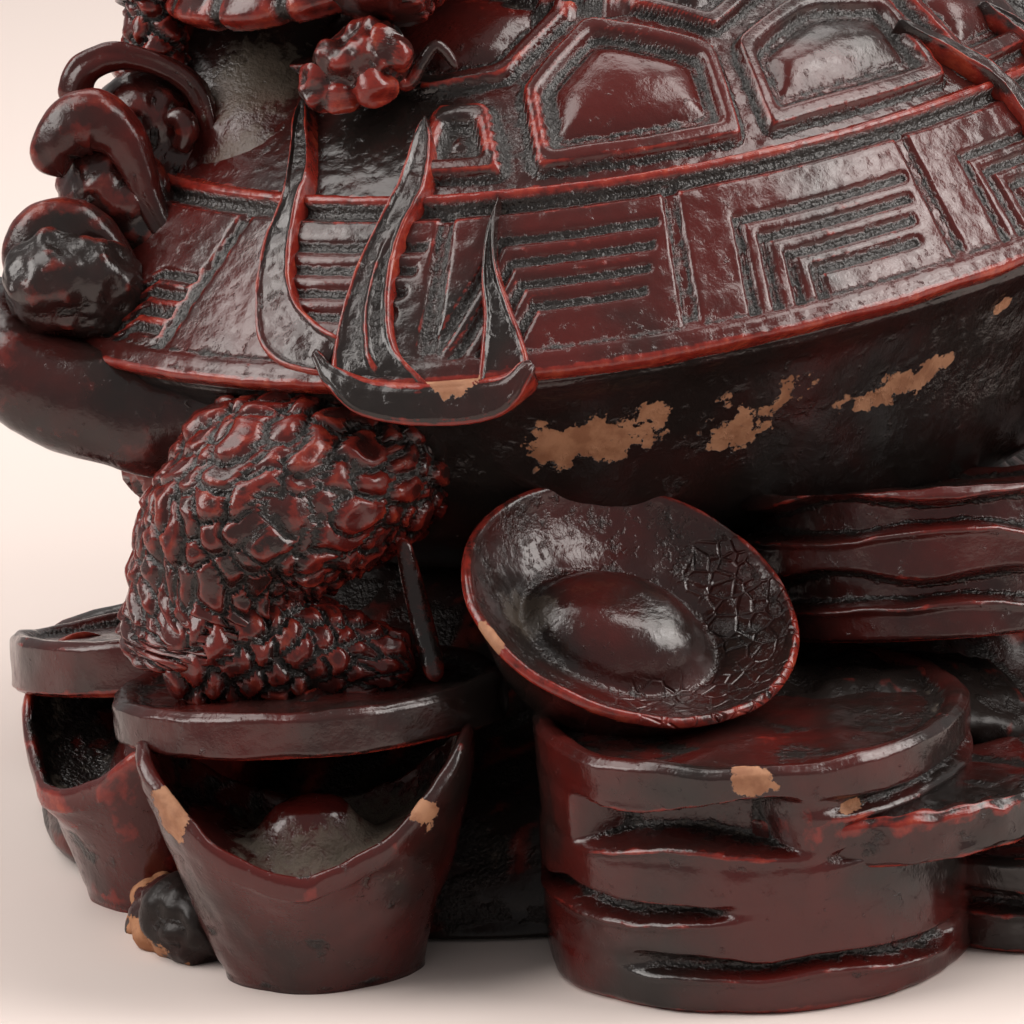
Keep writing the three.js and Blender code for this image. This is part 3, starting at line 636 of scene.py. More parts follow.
for reach, share in profile:
    xy = plan(angles, reach)
    height = BELLY_HEIGHT + share * (rim_at(xy[:, 1]) - BELLY_HEIGHT)
    rings.append(np.concatenate([xy, height[:, None]], axis=1))
rings = np.array(rings)
waves = 0.35 * grain(rings, 9.0, 21) + 0.16 * grain(rings * (1, 1, 1.8), 3.2, 22)
waves += 0.05 * grain(rings, 1.0, 23)
rings += unit(rings * (1, 1, 0)) * waves[..., None]
wall_lacquer = lacquer("wall_lacquer", red=0.12, worn=0.7, dusty=0.5, gloss=0.14, ripple=1.4)
cast("body", [skin(rings)], wall_lacquer, chips=FLAKES)

# The legs
# Four thick legs are carved all over with overlapping scales, each cut by hand and pressed out of line.
# The rear right one bends at the hock and stands on a coin, with a curl cut into its knee and a thin
# smooth post beside its foot.
SCALE_HEIGHT = 1.3
KNEE_CURL = (-15.2, 64.6, 35.2)
HIND_THIGH = [(-9.5, 44, 39), (-10.6, 49.8, 39), (-11.0, 55.0, 38.4), (-10.2, 58.8, 36.6),
              (-8.8, 61.6, 33.6), (-8.2, 63.4, 30.2), (-8.2, 64, 27), (-8.6, 64, 24.4)]
HIND_THIGH_RADII = [8.8, 9.8, 10.2, 10.2, 9.2, 7.6, 7.5, 6.5]
HIND_FOOT = [(-5.0, 67.0, 26.6), (-8.5, 65.0, 26.6), (-13.5, 61.5, 25.8), (-18.5, 57.6, 24.4),
             (-22.8, 54.6, 23.2)]
HIND_FOOT_RADII = [4.4, 5.8, 5.0, 3.4, 2.2]
POST = [(-20.0, 52.6, 34.0), (-21.0, 52.8, 30.5), (-23.0, 53.6, 26.0), (-25.0, 54.6, 22.6)]
THIGH_MESH = (66, 66)
FOOT_MESH = (42, 46)
FORE_THIGH = [(-33, -19, 46), (-37, -21, 44), (-40.5, -23.5, 40.5), (-42.5, -26, 35), (-43, -28, 29.5),
              (-43, -28, 25)]
FORE_THIGH_RADII = [9, 11.5, 12, 10.5, 8.5, 6]
FORE_FOOT = [(-42, -22, 27), (-44, -28, 26.5), (-46, -35, 25.6), (-47.5, -41, 24.4)]
FORE_FOOT_RADII = [4.8, 6.8, 6.2, 4.2]
HIDDEN_THIGH = [(27, 17, 45), (30, 18, 43), (33.5, 20, 38.5), (35.5, 22, 33), (35.5, 23.5, 28.5),
                (35.5, 23, 25)]
HIDDEN_FOOT = [(35, 26, 27), (36, 21, 26.4), (38.5, 15, 25.6), (41, 9, 24.6)]


def scales(across, down, count):
    """Height of overlapping scales in staggered rows: each rises to its round lower end, over the next."""
    row = np.floor(down).astype(np.int64)
    height = np.zeros(down.shape)
    covered = np.zeros(down.shape, bool)
    for back in (2, 1, 0):
        own = row - back
        t = (down - own) / 2.4
        place = across + 0.5 * (own % 2)
        column = np.floor(place).astype(np.int64)
        odd = lattice(np.stack([column % count, own, 0 * own], axis=-1), 101)
        sideways = place - column - 0.5 + 0.1 * odd
        inner = 1 - np.hypot(sideways / 0.57, np.maximum(t - 0.38 - 0.08 * odd, 0) / 0.56)
        own_height = ease(inner, 0.0, 0.4) * (0.1 + 0.9 * t + 0.2 * odd)
        height = np.where(~covered & (inner > 0), own_height, height)
        covered |= inner > 0
    return height


def tube(path, wide, thick, face, around=72, relief=None):
    """Rings of an ellipse carried along a path, with a relief along each ring's outward direction."""
    along = unit(np.gradient(path, axis=0))
    across = unit(np.cross(along, np.broadcast_to(face, path.shape)))
    out = np.cross(across, along)
    turn = np.linspace(0, 2 * np.pi, around, endpoint=False)
    wide = np.broadcast_to(wide, len(path))[:, None, None]
    thick = np.broadcast_to(thick, len(path))[:, None, None]
    cos, sin = np.cos(turn)[None, :, None], np.sin(turn)[None, :, None]
    rings = path[:, None] + cos * wide * across[:, None] + sin * thick * out[:, None]
    if relief is not None:
        length = np.concatenate([[0], np.cumsum(np.linalg.norm(np.diff(path, axis=0), axis=1))])
        girth = turn[None, :] * np.mean((wide + thick) / 2)
        direction = unit(cos * across[:, None] / wide + sin * out[:, None] / thick)
        height = relief(length[:, None] + 0 * girth, girth + 0 * length[:, None], rings)
        rings = rings + direction * height[..., None]
    return rings


def rounded(count, start, end):
    """Share of the full radius along a limb, an ellipse's quarter at each end."""
    t = np.linspace(0, 1, count)
    head = np.clip(1 - t / start, 0, 1)
    tail = np.clip(1 - (1 - t) / end, 0, 1)
    return np.sqrt(np.maximum(1 - head**2, 0.0004)) * np.sqrt(np.maximum(1 - tail**2, 0.0004))


def scaly(length, girth, rings, size=2.2):
    """Rows of scales bent out of line by a slow random field, over uneven swelling."""
    around = girth.max() * girth.shape[1] / (girth.shape[1] - 1)
    count = max(int(round(around / (1.2 * size))), 5)
    across = (girth + 1.0 * grain(rings, 2.8, 31)) / around * count
    down = (length + 1.0 * grain(rings, 2.6, 32)) / (0.78 * size)
    fade = ease(np.minimum(length, length.max() - length), 0.0, 1.4)
    return SCALE_HEIGHT * fade * scales(across, down, count) + 0.14 * grain(rings, 0.8,
                                                                            34) + 0.7 * grain(rings, 8.0,
                                                                                              35)


def plain_swell(length, girth, rings):
    """Slow uneven swelling of a smooth part."""
    return 0.45 * grain(rings, 5.0, 43) + 0.08 * grain(rings, 1.4, 44)


def knee_scaly(length, girth, rings):
    """The same scales, with a ring round a pit cut into the knee."""
    away = np.linalg.norm(rings - np.array(KNEE_CURL), axis=-1)
    ring = np.exp(-(((away - 2.1) / 0.6) ** 2)) - 1.3 * np.exp(-((away / 1.1) ** 2))
    return scaly(length, girth, rings) * ease(away, 1.4, 3.0) + 0.9 * ring


def limb(points, radii, steps, around, start=0.1, end=0.12, face=(0, 0, 1), relief=scaly, flat=1.0):
    """A closed tapering limb along a smooth path through its joints."""
    path = smooth_path(points, steps)
    radius = smooth_path(np.array(radii)[:, None], steps)[:, 0] * rounded(steps, start, end)
    return skin(tube(path, radius, radius * flat, np.array(face, float), around, relief))


def toes(foot, heading, steps=26, around=18, spread=3.6, reach=5.5):
    """Three knobbly toes ahead of a foot, each with a smooth pointed claw."""
    ahead = np.array([np.cos(np.radians(heading)), np.sin(np.radians(heading)), 0])
    side = np.array([-ahead[1], ahead[0], 0])
    parts = []
    for k in (-1, 0, 1):
        root = np.array(foot) + side * k * spread * 0.7 - ahead * 2
        tip = np.array(foot) + side * k * spread * 1.25 + ahead * (reach - abs(k)) - (0, 0, 1.2)
        knuckle = (root + tip) / 2 + (0, 0, 1.3)
        parts.append(limb([root, knuckle, tip], [2.6, 2.5, 1.7], steps, around))
        claw = [tip - ahead * 1.0, tip + ahead * 1.6 + (0, 0, 0.4), tip + ahead * 3.6 - (0, 0, 1.0)]
        parts.append(limb(claw, [1.3, 1.0, 0.35], 20, 14, relief=None))
    return parts


def mirror(points):
    """The same points on the other side of the figure."""
    return [(-x, y, z) for x, y, z in points]


rear_leg = [
    limb(HIND_THIGH, HIND_THIGH_RADII, 165, 170, start=0.05, end=0.06, relief=knee_scaly, flat=0.84),
    limb(HIND_FOOT, HIND_FOOT_RADII, 90, 96, start=0.16, end=0.12),
]
leg_lacquer = lacquer("leg_lacquer", red=0.72, worn=0.55, dusty=0.8)
cast("rear_right_leg", rear_leg, leg_lacquer)
post = limb(POST, [0.6, 0.9, 1.0, 0.9], 60, 30, face=(-0.68, 0.68, 0.25), flat=0.7, relief=None)
cast("leg_post", [post], wall_lacquer)
other_legs = [
    limb(FORE_THIGH, FORE_THIGH_RADII, *THIGH_MESH),
    limb(FORE_FOOT, FORE_FOOT_RADII, *FOOT_MESH, start=0.22, end=0.2),
    *toes((-47.5, -41, 24), 262),
    limb(mirror(FORE_THIGH), FORE_THIGH_RADII, *THIGH_MESH),
    limb(mirror(FORE_FOOT), FORE_FOOT_RADII, *FOOT_MESH, start=0.22, end=0.2),
    *toes((47.5, -41, 24), 278),
    limb(HIDDEN_THIGH, FORE_THIGH_RADII, *THIGH_MESH),
    limb(HIDDEN_FOOT, FORE_FOOT_RADII, *FOOT_MESH, start=0.22, end=0.2),
    *toes((41, 9, 24.2), 292),
]
cast("other_legs", other_legs, leg_lacquer)

# The tail
# The tail leaves the body over a smooth round root and breaks into hooked curls, like a wave, with thick
# glossy crests. Locks run down from the crests to the shell on the left side, and dust lies in the smooth
# hollow between the curls and the shell on the right.
TAIL_CURLS = [
    ([(20.2, 50.6, 67.6), (19.5, 49.8, 70.4), (18.5, 48.5, 71.5), (16.9, 46.8, 71.8), (14.6, 44.8, 70.9),
      (12.4, 43.2, 69.2), (11.2, 42.8, 67.2), (10.4, 43.0, 64.8), (9.6, 43.2, 62.8)],
      [1.5, 1.5, 1.4, 1.3, 1.1, 1.0, 0.9, 0.8, 0.5]),
    ([(7.0, 49.6, 54.6), (9.0, 50.2, 57.0), (10.6, 50.7, 59.8), (11.7, 50.7, 62.8), (13.1, 51.1, 65.6),
      (15.0, 52.3, 67.0), (16.7, 54.0, 66.4), (17.3, 55.2, 64.4), (16.6, 55.4, 62.4)],
      [0.9, 1.2, 1.4, 1.6, 2.2, 2.8, 2.8, 2.2, 1.1]),
    ([(8.0, 53.2, 50.4), (9.8, 54.2, 53.2), (11.6, 54.8, 56.0), (13.2, 55.7, 57.9), (15.0, 57.2, 58.3),
      (16.6, 59.0, 57.4), (17.0, 60.0, 55.6), (16.2, 59.8, 53.8)],
      [0.9, 1.3, 1.7, 2.4, 2.9, 2.7, 2.2, 1.1]),
    ([(10.4, 49.0, 57.6), (12.2, 49.6, 60.4), (13.4, 49.9, 63.4), (15.0, 51.2, 64.6)],
     [0.5, 0.9, 0.9, 0.6]),
]
TAIL_KNOB = ([(11.6, 46.0, 63.4), (11.0, 45.4, 65.0), (11.6, 45.4, 66.2), (12.8, 46.2, 66.2)],
             [0.8, 1.1, 1.1, 0.7])
TAIL_MASS = ([(8.4, 54.0, 52.2), (11.6, 57.4, 53.4), (15.0, 60.2, 53.8), (17.6, 62.0, 53.4)],
             [3.2, 4.2, 4.3, 3.2])
TAIL_FILLS = [
    ([(13, 41.5, 58), (16.4, 43.4, 62.5), (17.6, 45.4, 66.4), (18.2, 47.4, 69.2)], [5.0, 5.0, 4.6, 3.4]),
    ([(11, 46.5, 53), (14.4, 48.8, 57.5), (16.4, 51.0, 61.6), (17.4, 52.6, 65.0)], [4.8, 5.0, 4.4, 2.4]),
    ([(11, 51.5, 48), (14.4, 54.0, 51.5), (16.2, 56.4, 54.6), (16.8, 58.0, 57.0)], [4.6, 5.0, 4.2, 2.2]),
]
TAIL_ROOT = ([(-2, 48, 41.6), (3, 52.6, 42.0), (8, 57.0, 43.0), (12.6, 61.0, 44.6), (17.0, 63.4, 47.4),
              (22.6, 60.6, 50.0), (27.0, 54.0, 51.0)], [6.6, 6.2, 5.6, 5.0, 4.0, 3.2, 2.0])
SADDLE = [
    [(4.4, 28.4, 72.4), (10.0, 32.0, 75.6), (18.0, 38.0, 76.0)],
    [(3.0, 33.4, 69.0), (9.0, 38.0, 70.4), (16.6, 41.6, 69.6)],
    [(0.8, 38.6, 66.4), (7.0, 42.2, 66.4), (14.6, 43.8, 64.8)],
    [(-2.0, 43.2, 63.0), (4.8, 45.0, 62.4), (12.6, 46.2, 60.6)],
    [(-3.8, 47.2, 59.6), (4.0, 47.6, 58.8), (11.4, 48.8, 56.4)],
    [(-4.4, 50.0, 56.8), (3.6, 50.6, 55.2), (10.6, 51.6, 52.2)],
]
FAR_LOCK = [(1.0, -1.0, -1.8), (4.2, -4.8, -1.6), (7.6, -9.8, -5.0), (9.0, -13.8, -10.8)]
KNEADING = 0.3


def crest(length, girth, rings):
    """A channel between two thick edges along the face of a curl, and slow dents."""
    share = girth / girth[:, -1:].max() * 2 * np.pi
    channel = np.exp(-(((share - 0.5 * np.pi) / 0.5) ** 2))
    channel += 0.6 * np.exp(-(((share - 1.0 * np.pi) / 0.35) ** 2))
    return -0.3 * channel + KNEADING * grain(rings, 4.0, 41) + 0.07 * grain(rings, 1.2, 42)


def dimpled(length, girth, rings):
    """Small dents in a swelling surface."""
    return 0.6 * grain(rings, 4.0, 47) + 0.6 * grain(rings, 2.0, 48) + 0.3 * grain(rings, 1.1, 49)


tail = []
for points, radii in TAIL_CURLS:
    tail.append(limb(points, radii, 76, 54, start=0.06, end=0.1, face=(-0.2, 0.9, 0.3), relief=crest))
for points, radii in TAIL_CURLS[:3]:
    for apex in (points[3], points[5], points[6]):
        lock_path = np.array(apex) + np.array(FAR_LOCK)
        tail.append(limb(lock_path, [1.4, 2.2, 2.2, 0.8], 40, 28, start=0.2, end=0.1,
                         face=(0.6, 0.6, 0.5), relief=crest))
fills = [limb(points, radii, 40, 40, start=0.2, end=0.3, relief=dimpled) for points, radii in TAIL_FILLS]
fills.append(limb(*TAIL_KNOB, 30, 24, relief=None))
fills.append(limb(*TAIL_MASS, 64, 64, start=0.2, end=0.2, relief=dimpled))
fills.append(limb(*TAIL_ROOT, 76, 50, start=0.07, end=0.06, relief=plain_swell))
across = smooth_path(np.transpose(smooth_path(SADDLE, 90), (1, 0, 2)), 60)
front = np.transpose(across, (1, 0, 2))
front = front + 0.2 * grain(front, 3.5, 45)[..., None] + 0.03 * grain(front, 1.2, 46)[..., None]
tail.append(skin(np.concatenate([front, front[:, ::-6] + (3.0, -5.0, -4.0)], axis=1)))
TAIL_DUST = [((8.0, 39, 68), (7, 7, 8)), ((5.0, 45, 62), (6, 6, 8))]
cast("tail", tail, lacquer("tail_lacquer", red=0.5, worn=0.4, dusty=0.65, shine=0.4), settled=TAIL_DUST)
cast("tail_root", fills, lacquer("root_lacquer", red=0.35, worn=0.35, dusty=0.4), edge=0.12)

# The heap
# Coins and boat-shaped ingots are half sunk in a dark filling, of which one lump has broken off to bare
# resin. The filling's near-black colour and weak reflection are painted shade: they stand in for the deep
# shadow under the shell. The stacks are cast in one, with the gaps between their coins cut only part of
# the way round.
# The ingots are boats with a dished top and a button.
HEAP_HEIGHT = 28.0
COIN_RADIUS = 18.6
COIN_THICKNESS = 4.4
FOOT_HEIGHT = 22.8
FILLING = [(0.1, 0.0), (0.8, 0.0), (1.02, 0.0), (1.06, 1.5), (1.02, 6.0), (0.92, 10), (0.8, 15),
           (0.66, 22), (0.5, 27), (0.1, 27.5)]


def banked_lumps(length, girth, rings):
    """Rough lumps of filling."""
    return 0.9 * grain(rings, 3.5, 59) + 0.35 * grain(rings, 1.3, 60)


def broken_lumps(length, girth, rings):
    """Lumps with flat broken faces."""
    return 1.5 * np.abs(grain(rings, 3.6, 64)) - 0.6 + 0.3 * grain(rings, 1.2, 65)


angles = np.linspace(0, 360, 150, endpoint=False)
filling = np.array([np.concatenate([plan(angles, reach), np.full((len(angles), 1), z)], axis=1)
                    for reach, z in smooth_path(FILLING, 60)])
lumps = 1.7 * grain(filling, 9.0, 51) + 0.8 * grain(filling, 3.5, 52) + 0.25 * grain(filling, 1.2, 53)
above = ease(filling[..., 2], 0.2, 3.0)[..., None]
filling = filling + above * lumps[..., None] * unit(filling * (1, 1, 0) + (0, 0, 20))
filling[..., 2] = np.maximum(filling[..., 2], 0)
# Painted shade: the filling's near-black colour (red=0.1) and low reflection (shine=0.2) stand in for the
# deep shadow under the shell.
filling_and_shade_lacquer = lacquer("filling_and_shade_lacquer", red=0.1, worn=0.3, dusty=0.8, gloss=0.3, shine=0.2)
# The mound is a dark lump of filling laid where there is only deep shadow under the shell: a painted shadow.
SHADE_MOUND = [(-32, 38, 16.5), (-38, 33.5, 17), (-44, 28, 17.3), (-51, 22, 17), (-58, 15, 14)]
CHUNK = [(1.6, 64.2, 1.0), (-3.0, 67.4, 1.8), (-8.4, 70.2, 2.6), (-13.6, 70.0, 2.6)]
banked = [limb(SHADE_MOUND, [7.0, 9.0, 9.0, 9.0, 7.0], 64, 56, start=0.2, end=0.2, relief=banked_lumps,
               flat=0.34),
          limb(CHUNK, [2.8, 3.6, 3.8, 3.4], 60, 56, start=0.08, end=0.2, relief=broken_lumps)]
banked = [(points - np.minimum(points, 0) * (0, 0, 1), *faces) for points, *faces in banked]
CHUNK_CHIPS = [((0.8, 67.6, 2.2), (4.5, 4, 4.2)), ((-4.6, 71.6, 0.4), (9, 5, 3.2))]
cast("heap_filling_and_shade", [skin(filling), *banked], filling_and_shade_lacquer, chips=CHUNK_CHIPS)


def turned(points, centre, lean, turn=0.0):
    """Points turned about Z, leant about X and Y, and moved to a place, none below the ground."""
    tilt = Matrix.Rotation(np.radians(lean[1]), 3, "Y") @ Matrix.Rotation(np.radians(lean[0]), 3, "X")
    move = np.array(tilt @ Matrix.Rotation(turn, 3, "Z"))
    points = points @ move.T + np.array(centre)
    points[..., 2] = np.maximum(points[..., 2], 0)
    return points


def pile(centre, base, height, radius, gaps=(), lean=(0.0, 0.0), rows=40, around=110, seed=0, hole=True,
         dish=0.9, rough=0.1):
    """A stack of coins as one solid: a wandering wall with gaps cut into it, a rolled rim and a sunk face.

    A gap is its middle height, its half height, its depth, and the directions in degrees where it starts
    and ends. Outside them only a shallow line runs on.
    """
    turn = np.linspace(0, 2 * np.pi, around, endpoint=False)
    degrees = np.degrees(turn)
    z = np.linspace(0.0, 1.0, rows)[:, None] * height + 0 * turn
    wander = 0.35 * np.sin(2 * turn + seed) + 0.2 * np.sin(5 * turn + 2.3 * seed)
    wall = radius + wander - 0.5 * (1 - ease(z, 0, 0.5)) - 0.55 * ease(z, height - 0.6, height)
    for middle, half, depth, start, end in gaps:
        place = middle + 0.4 * np.sin(2 * turn + middle) + 0.15 * np.sin(7 * turn + 2 * middle)
        half = half * (1 + 0.35 * np.sin(5 * turn + 3 * middle))
        beyond = np.abs((degrees - (start + end) / 2 + 180) % 360 - 180) - (end - start) / 2
        cut = line_profile(z - place, half, 0.5)
        open_here = 1 - ease(beyond, -9, 5)
        wall = wall - cut * (0.08 + depth * open_here)
        wall = wall + 0.25 * open_here * line_profile(z - place + half + 0.55, 0.25)
    share = np.array([0.955, 0.93, 0.905, 0.88, 0.85, 0.8,
                      *np.linspace(0.74, 0.02, 24 if hole else 7)])[:, None]
    level = height - dish * ease(share, 0.93, 0.84)
    face = (radius + wander) * share
    depth = 0 * face
    if hole:
        across = np.maximum(np.abs(face * np.cos(turn)), np.abs(face * np.sin(turn))) / radius
        depth = 0.6 * line_profile(across - 0.27, 0.02, 0.03) - 1.0 * (1 - ease(across, 0.2, 0.23))
        depth = np.where(share < 0.8, depth, 0)
    reach = np.concatenate([np.full((1, around), 0.02), (wall[:1] - 0.3), wall, face])
    tall = np.concatenate([0 * z[:1], 0 * z[:1], z, level + depth])
    points = np.stack([reach * np.cos(turn), reach * np.sin(turn), tall], axis=-1)
    drift = points + 40.0 * seed
    out = unit(points * (1, 1, 0) + 1e-9)
    points += out * (0.3 * grain(drift, 5.0, 57) + rough * grain(drift, 1.6, 58))[..., None]
    inside = (points[..., 2] > 0.3)[..., None] * np.array([0, 0, 1.0])
    points += inside * (0.3 * grain(drift, 5.0, 55) + rough * grain(drift, 1.5, 56))[..., None]
    return skin(turned(points, (centre[0], centre[1], base), lean))


def plain_gaps(levels):
    """Gaps between the coins of a stack, open on opposite sides by turns."""
    pitch = COIN_THICKNESS - 0.3
    return [(pitch * (k + 1), 0.5, 1.4, 150.0 * k, 150.0 * k + 230) for k in range(levels - 1)]


FOOT_COIN = plan(103.5, 1.02)
TALL_STACK = plan(139.5, 1.16)
TALL_GAPS = [(3.7, 0.45, 1.6, 99, 192), (8.6, 0.5, 2.0, 44, 124), (15.3, 1.7, 4.2, 82, 141),
             (12.9, 0.25, 0.8, 150, 215), (17.2, 0.4, 1.0, 150, 226)]
SHORT_STACK = plan(165, 1.31)
HIGH_STACK = (-44.2, 12.2)
KNOBBLY_COIN = (-54.6, 34.3)
near_coins = [
    pile(FOOT_COIN, FOOT_HEIGHT - 4.2, 3.8, 16.4, rows=24, around=130, seed=1, dish=0.6, lean=(4.2, 4.2)),
    pile(plan(75, 0.94) - (3.4, 3.2), 16.4, 5.0, 15.4, rows=20, around=90, seed=2, hole=False,
         lean=(7.6, 7.6)),
    pile(TALL_STACK, 0, 20.8, 18.6, TALL_GAPS, rows=104, around=210, seed=3, hole=False, dish=1.4),
    pile(SHORT_STACK, 0, 8.2, 16.4, plain_gaps(2), rows=36, around=100, seed=11, hole=False),
    pile(KNOBBLY_COIN, 11.4, 4.2, 17.5, rows=28, around=170, seed=12, hole=False, rough=0.35),
    pile(HIGH_STACK, 20.0, 12.6, 17.4, [(10.2, 1.2, 2.4, 40, 300), (4.0, 1.0, 2.0, 40, 300)], rows=70,
         around=140, seed=15, hole=False, lean=(8.0, 8.0)),
]
near_lacquer = lacquer("coin_lacquer", red=0.55, worn=0.9, dusty=1.1)
COIN_CHIPS = [((-59.5, 54.0, 20.0), (3.4, 2.4, 1.7)), ((-64.2, 47.4, 16.5), (1.2, 2.0, 1.1)),
              ((-47.6, 20.2, 27.4), (2.6, 2.6, 1.9))]


def knob_wear(points):
    """Wear on the lumps along the knobbly coin's rim."""
    away = np.linalg.norm(points[:, :2] - np.array(KNOBBLY_COIN), axis=1)
    level = ease(points[:, 2], 13.6, 14.6) * (1 - ease(points[:, 2], 15.8, 16.4))
    return 0.8 * ease(away, 15.5, 17.0) * level * (away < COIN_RADIUS)


cast("near_coins", near_coins, near_lacquer, chips=COIN_CHIPS, rubbed=knob_wear)
far_coins = []
FAR_STACKS = [(213, 1.18, 18.6), (253, 1.12, 17.0), (290, 1.14, 18.6), (310, 1.2, 18.6),
              (348, 1.16, 18.6), (27, 0.9, 18.6), (66, 0.66, 16.0)]
for k, (angle, reach, radius) in enumerate(FAR_STACKS):
    far_coins.append(pile(plan(angle, reach), 0, 8.2, radius, plain_gaps(2), rows=14, around=48,
                          seed=20 + k, hole=k % 2 == 0))
for k, angle in enumerate([225, 262, 300, 322, 348, 3]):
    downhill = unit(plan(angle, 1.0))
    lean = 14 if k % 2 else 22
    top = (0.6 + 0.11 * (k % 3)) * HEAP_HEIGHT
    far_coins.append(pile(plan(angle, 0.93), top - COIN_THICKNESS, COIN_THICKNESS, 16.0,
                          lean=(-lean * downhill[1], lean * downhill[0]), rows=8, around=48, seed=50 + k,
                          hole=k % 2 == 0))
cast("far_coins", far_coins, near_lacquer)

BOAT = [(0.1, 0.1, 0.0, 0.0), (0.56, 0.54, 0.0, 0.0), (0.63, 0.61, 0.04, 0.0), (0.73, 0.71, 0.25, 0.1),
        (0.85, 0.85, 0.55, 0.4), (0.95, 0.95, 0.8, 0.75), (0.99, 0.99, 0.94, 1.0), (1.0, 1.0, 1.0, 1.0),
        (0.96, 0.965, 1.03, 1.0), (0.91, 0.92, 1.01, 0.97), (0.86, 0.88, 0.93, 0.9),
        (0.76, 0.79, 0.77, 0.68), (0.6, 0.64, 0.68, 0.46), (0.46, 0.5, 0.62, 0.28),
        (0.36, 0.37, 0.6, 0.12), (0.29, 0.27, 0.66, 0.03), (0.2, 0.18, 0.73, 0.0),
        (0.05, 0.05, 0.76, 0.0)]


def ingot(centre, heading, length=29.0, width=21.0, height=20.0, sag=9.0, around=110, rows=70):
    """A boat-shaped ingot: a tapered body, a rolled lip that rises to two tips, and a button in its dish."""
    turn = np.linspace(0, 2 * np.pi, around, endpoint=False)
    across, along, level, dip = (smooth_path(BOAT, rows)[:, k, None] for k in range(4))
    x = np.cos(turn) * along * length / 2
    y = np.sin(turn) * across * width / 2
    z = np.where(level < 0.02, 0.0, level * height - dip * sag * np.sin(turn) ** 2)
    points = np.stack([x, y, z], axis=-1)
    out = unit(points * (1, 1, 0) + 1e-9)
    points += out * (0.45 * grain(points + heading, 5.0, 61)
                     + 0.12 * grain(points + heading, 1.4, 62))[..., None]
    points[..., 2] += 0.3 * np.minimum(level, 1) * grain(points + heading, 2.2, 63)
    return skin(turned(points, centre, (0, 0), np.radians(heading)))


near_ingots = [ingot((*(plan(109, 1.16) + (1.4, 1.2)), 0), 40, length=28.4, around=160, rows=120),
               ingot((*plan(84, 1.0), 0), -15, height=20.0, around=90, rows=64)]
INGOT_DUST = [((-22, 64, 11.0), (13, 13, 4.4))]
INGOT_CHIPS = [((-17.0, 78.4, 16.0), (3.0, 2.2, 3.2)), ((-33.4, 65.5, 15.8), (2.0, 2.2, 3.0))]
ingot_lacquer = lacquer("ingot_lacquer", red=0.72, worn=0.85, dusty=1.1)
cast("near_ingots", near_ingots, ingot_lacquer, chips=INGOT_CHIPS, settled=INGOT_DUST)
far_ingots = [ingot((*plan(angle, reach), 0), heading, around=48, rows=34) for angle, reach, heading in
              ((190, 1.24, 95), (236, 1.24, 150), (270, 1.16, 0), (330, 1.22, 70), (358, 1.18, 85),
               (48, 0.74, 140))]
cast("far_ingots", far_ingots, ingot_lacquer)

# The leaning dish
# A round dished ingot leans on the heap below the shell, with its face turned out. Its lacquer has
# crazed round a smooth button, and dust has settled in it.
DISH_FACE = (-0.54, 0.14, 0.83)
DISH_LENGTH = (-0.72, -0.58, -0.37)
DISH_MIDDLE = (-37.4, 43.4, 28.6)
DISH_HALF_LENGTH = 14.6
DISH_HALF_BREADTH = 13.8
DISH_PROFILE = [(0.1, -10), (0.5, -10), (0.66, -8), (0.85, -3.6), (0.96, -1.0), (1.0, -0.2), (0.99, 0.3),
                (0.965, 0.45), (0.94, 0.25), (0.9, -0.5), (0.82, -1.6), (0.72, -2.5), (0.62, -3.2),
                (0.55, -3.8), (0.5, -3.4), (0.43, -2.1), (0.33, -0.9), (0.2, -0.2), (0.06, 0.0)]
face = unit(np.array(DISH_FACE))
length = np.array(DISH_LENGTH) - np.dot(DISH_LENGTH, face) * face
length = unit(length)
breadth = np.cross(face, length)
turn = np.linspace(0, 2 * np.pi, 190, endpoint=False)
rows = smooth_path(DISH_PROFILE, 120)
reach, level = rows[:, :1], rows[:, 1:]
button = 1 - ease(reach, 0.5, 0.7)
x = DISH_HALF_LENGTH * reach * np.cos(turn) * (1 + 0.08 * button)
y = DISH_HALF_BREADTH * reach * np.sin(turn) * (1 - 0.1 * button)
z = level + 0.18 * grain(np.stack([x, y, level + 0 * x], axis=-1), 3.0, 71)
dish = x[..., None] * length + y[..., None] * breadth + z[..., None] * face + np.array(DISH_MIDDLE)
dish += 0.02 * grain(dish, 0.9, 72)[..., None] * face
DISH_CHIPS = [((-34.6, 57.0, 28.7), (2.8, 2.2, 2.0))]
DISH_DUST = [((-31, 49, 28), (4, 4, 4))]
DISH_CRAZE = [((-42.4, 32.2, 24.6), (7.5, 7, 5)), ((-44.6, 46.8, 20.8), (8, 8, 3.6)),
              ((-36.4, 31.0, 28.2), (5, 5, 4)), ((-46.6, 39.6, 21.2), (6, 7, 4))]


def dish_wear(points):
    """Wear along the dish's rolled rim."""
    away = points - np.array(DISH_MIDDLE)
    height = away @ face
    reach = np.hypot(away @ length / DISH_HALF_LENGTH, away @ breadth / DISH_HALF_BREADTH)
    return 0.9 * ease(reach, 0.925, 0.96) * ease(height, -1.2, -0.4)


dish_lacquer = lacquer("dish_lacquer", red=0.5, worn=1.0, dusty=0.35, crackle=0.8)
cast("leaning_dish", [skin(dish)], dish_lacquer, chips=DISH_CHIPS, settled=DISH_DUST, crazed=DISH_CRAZE,
     edge=0.2, rubbed=dish_wear)

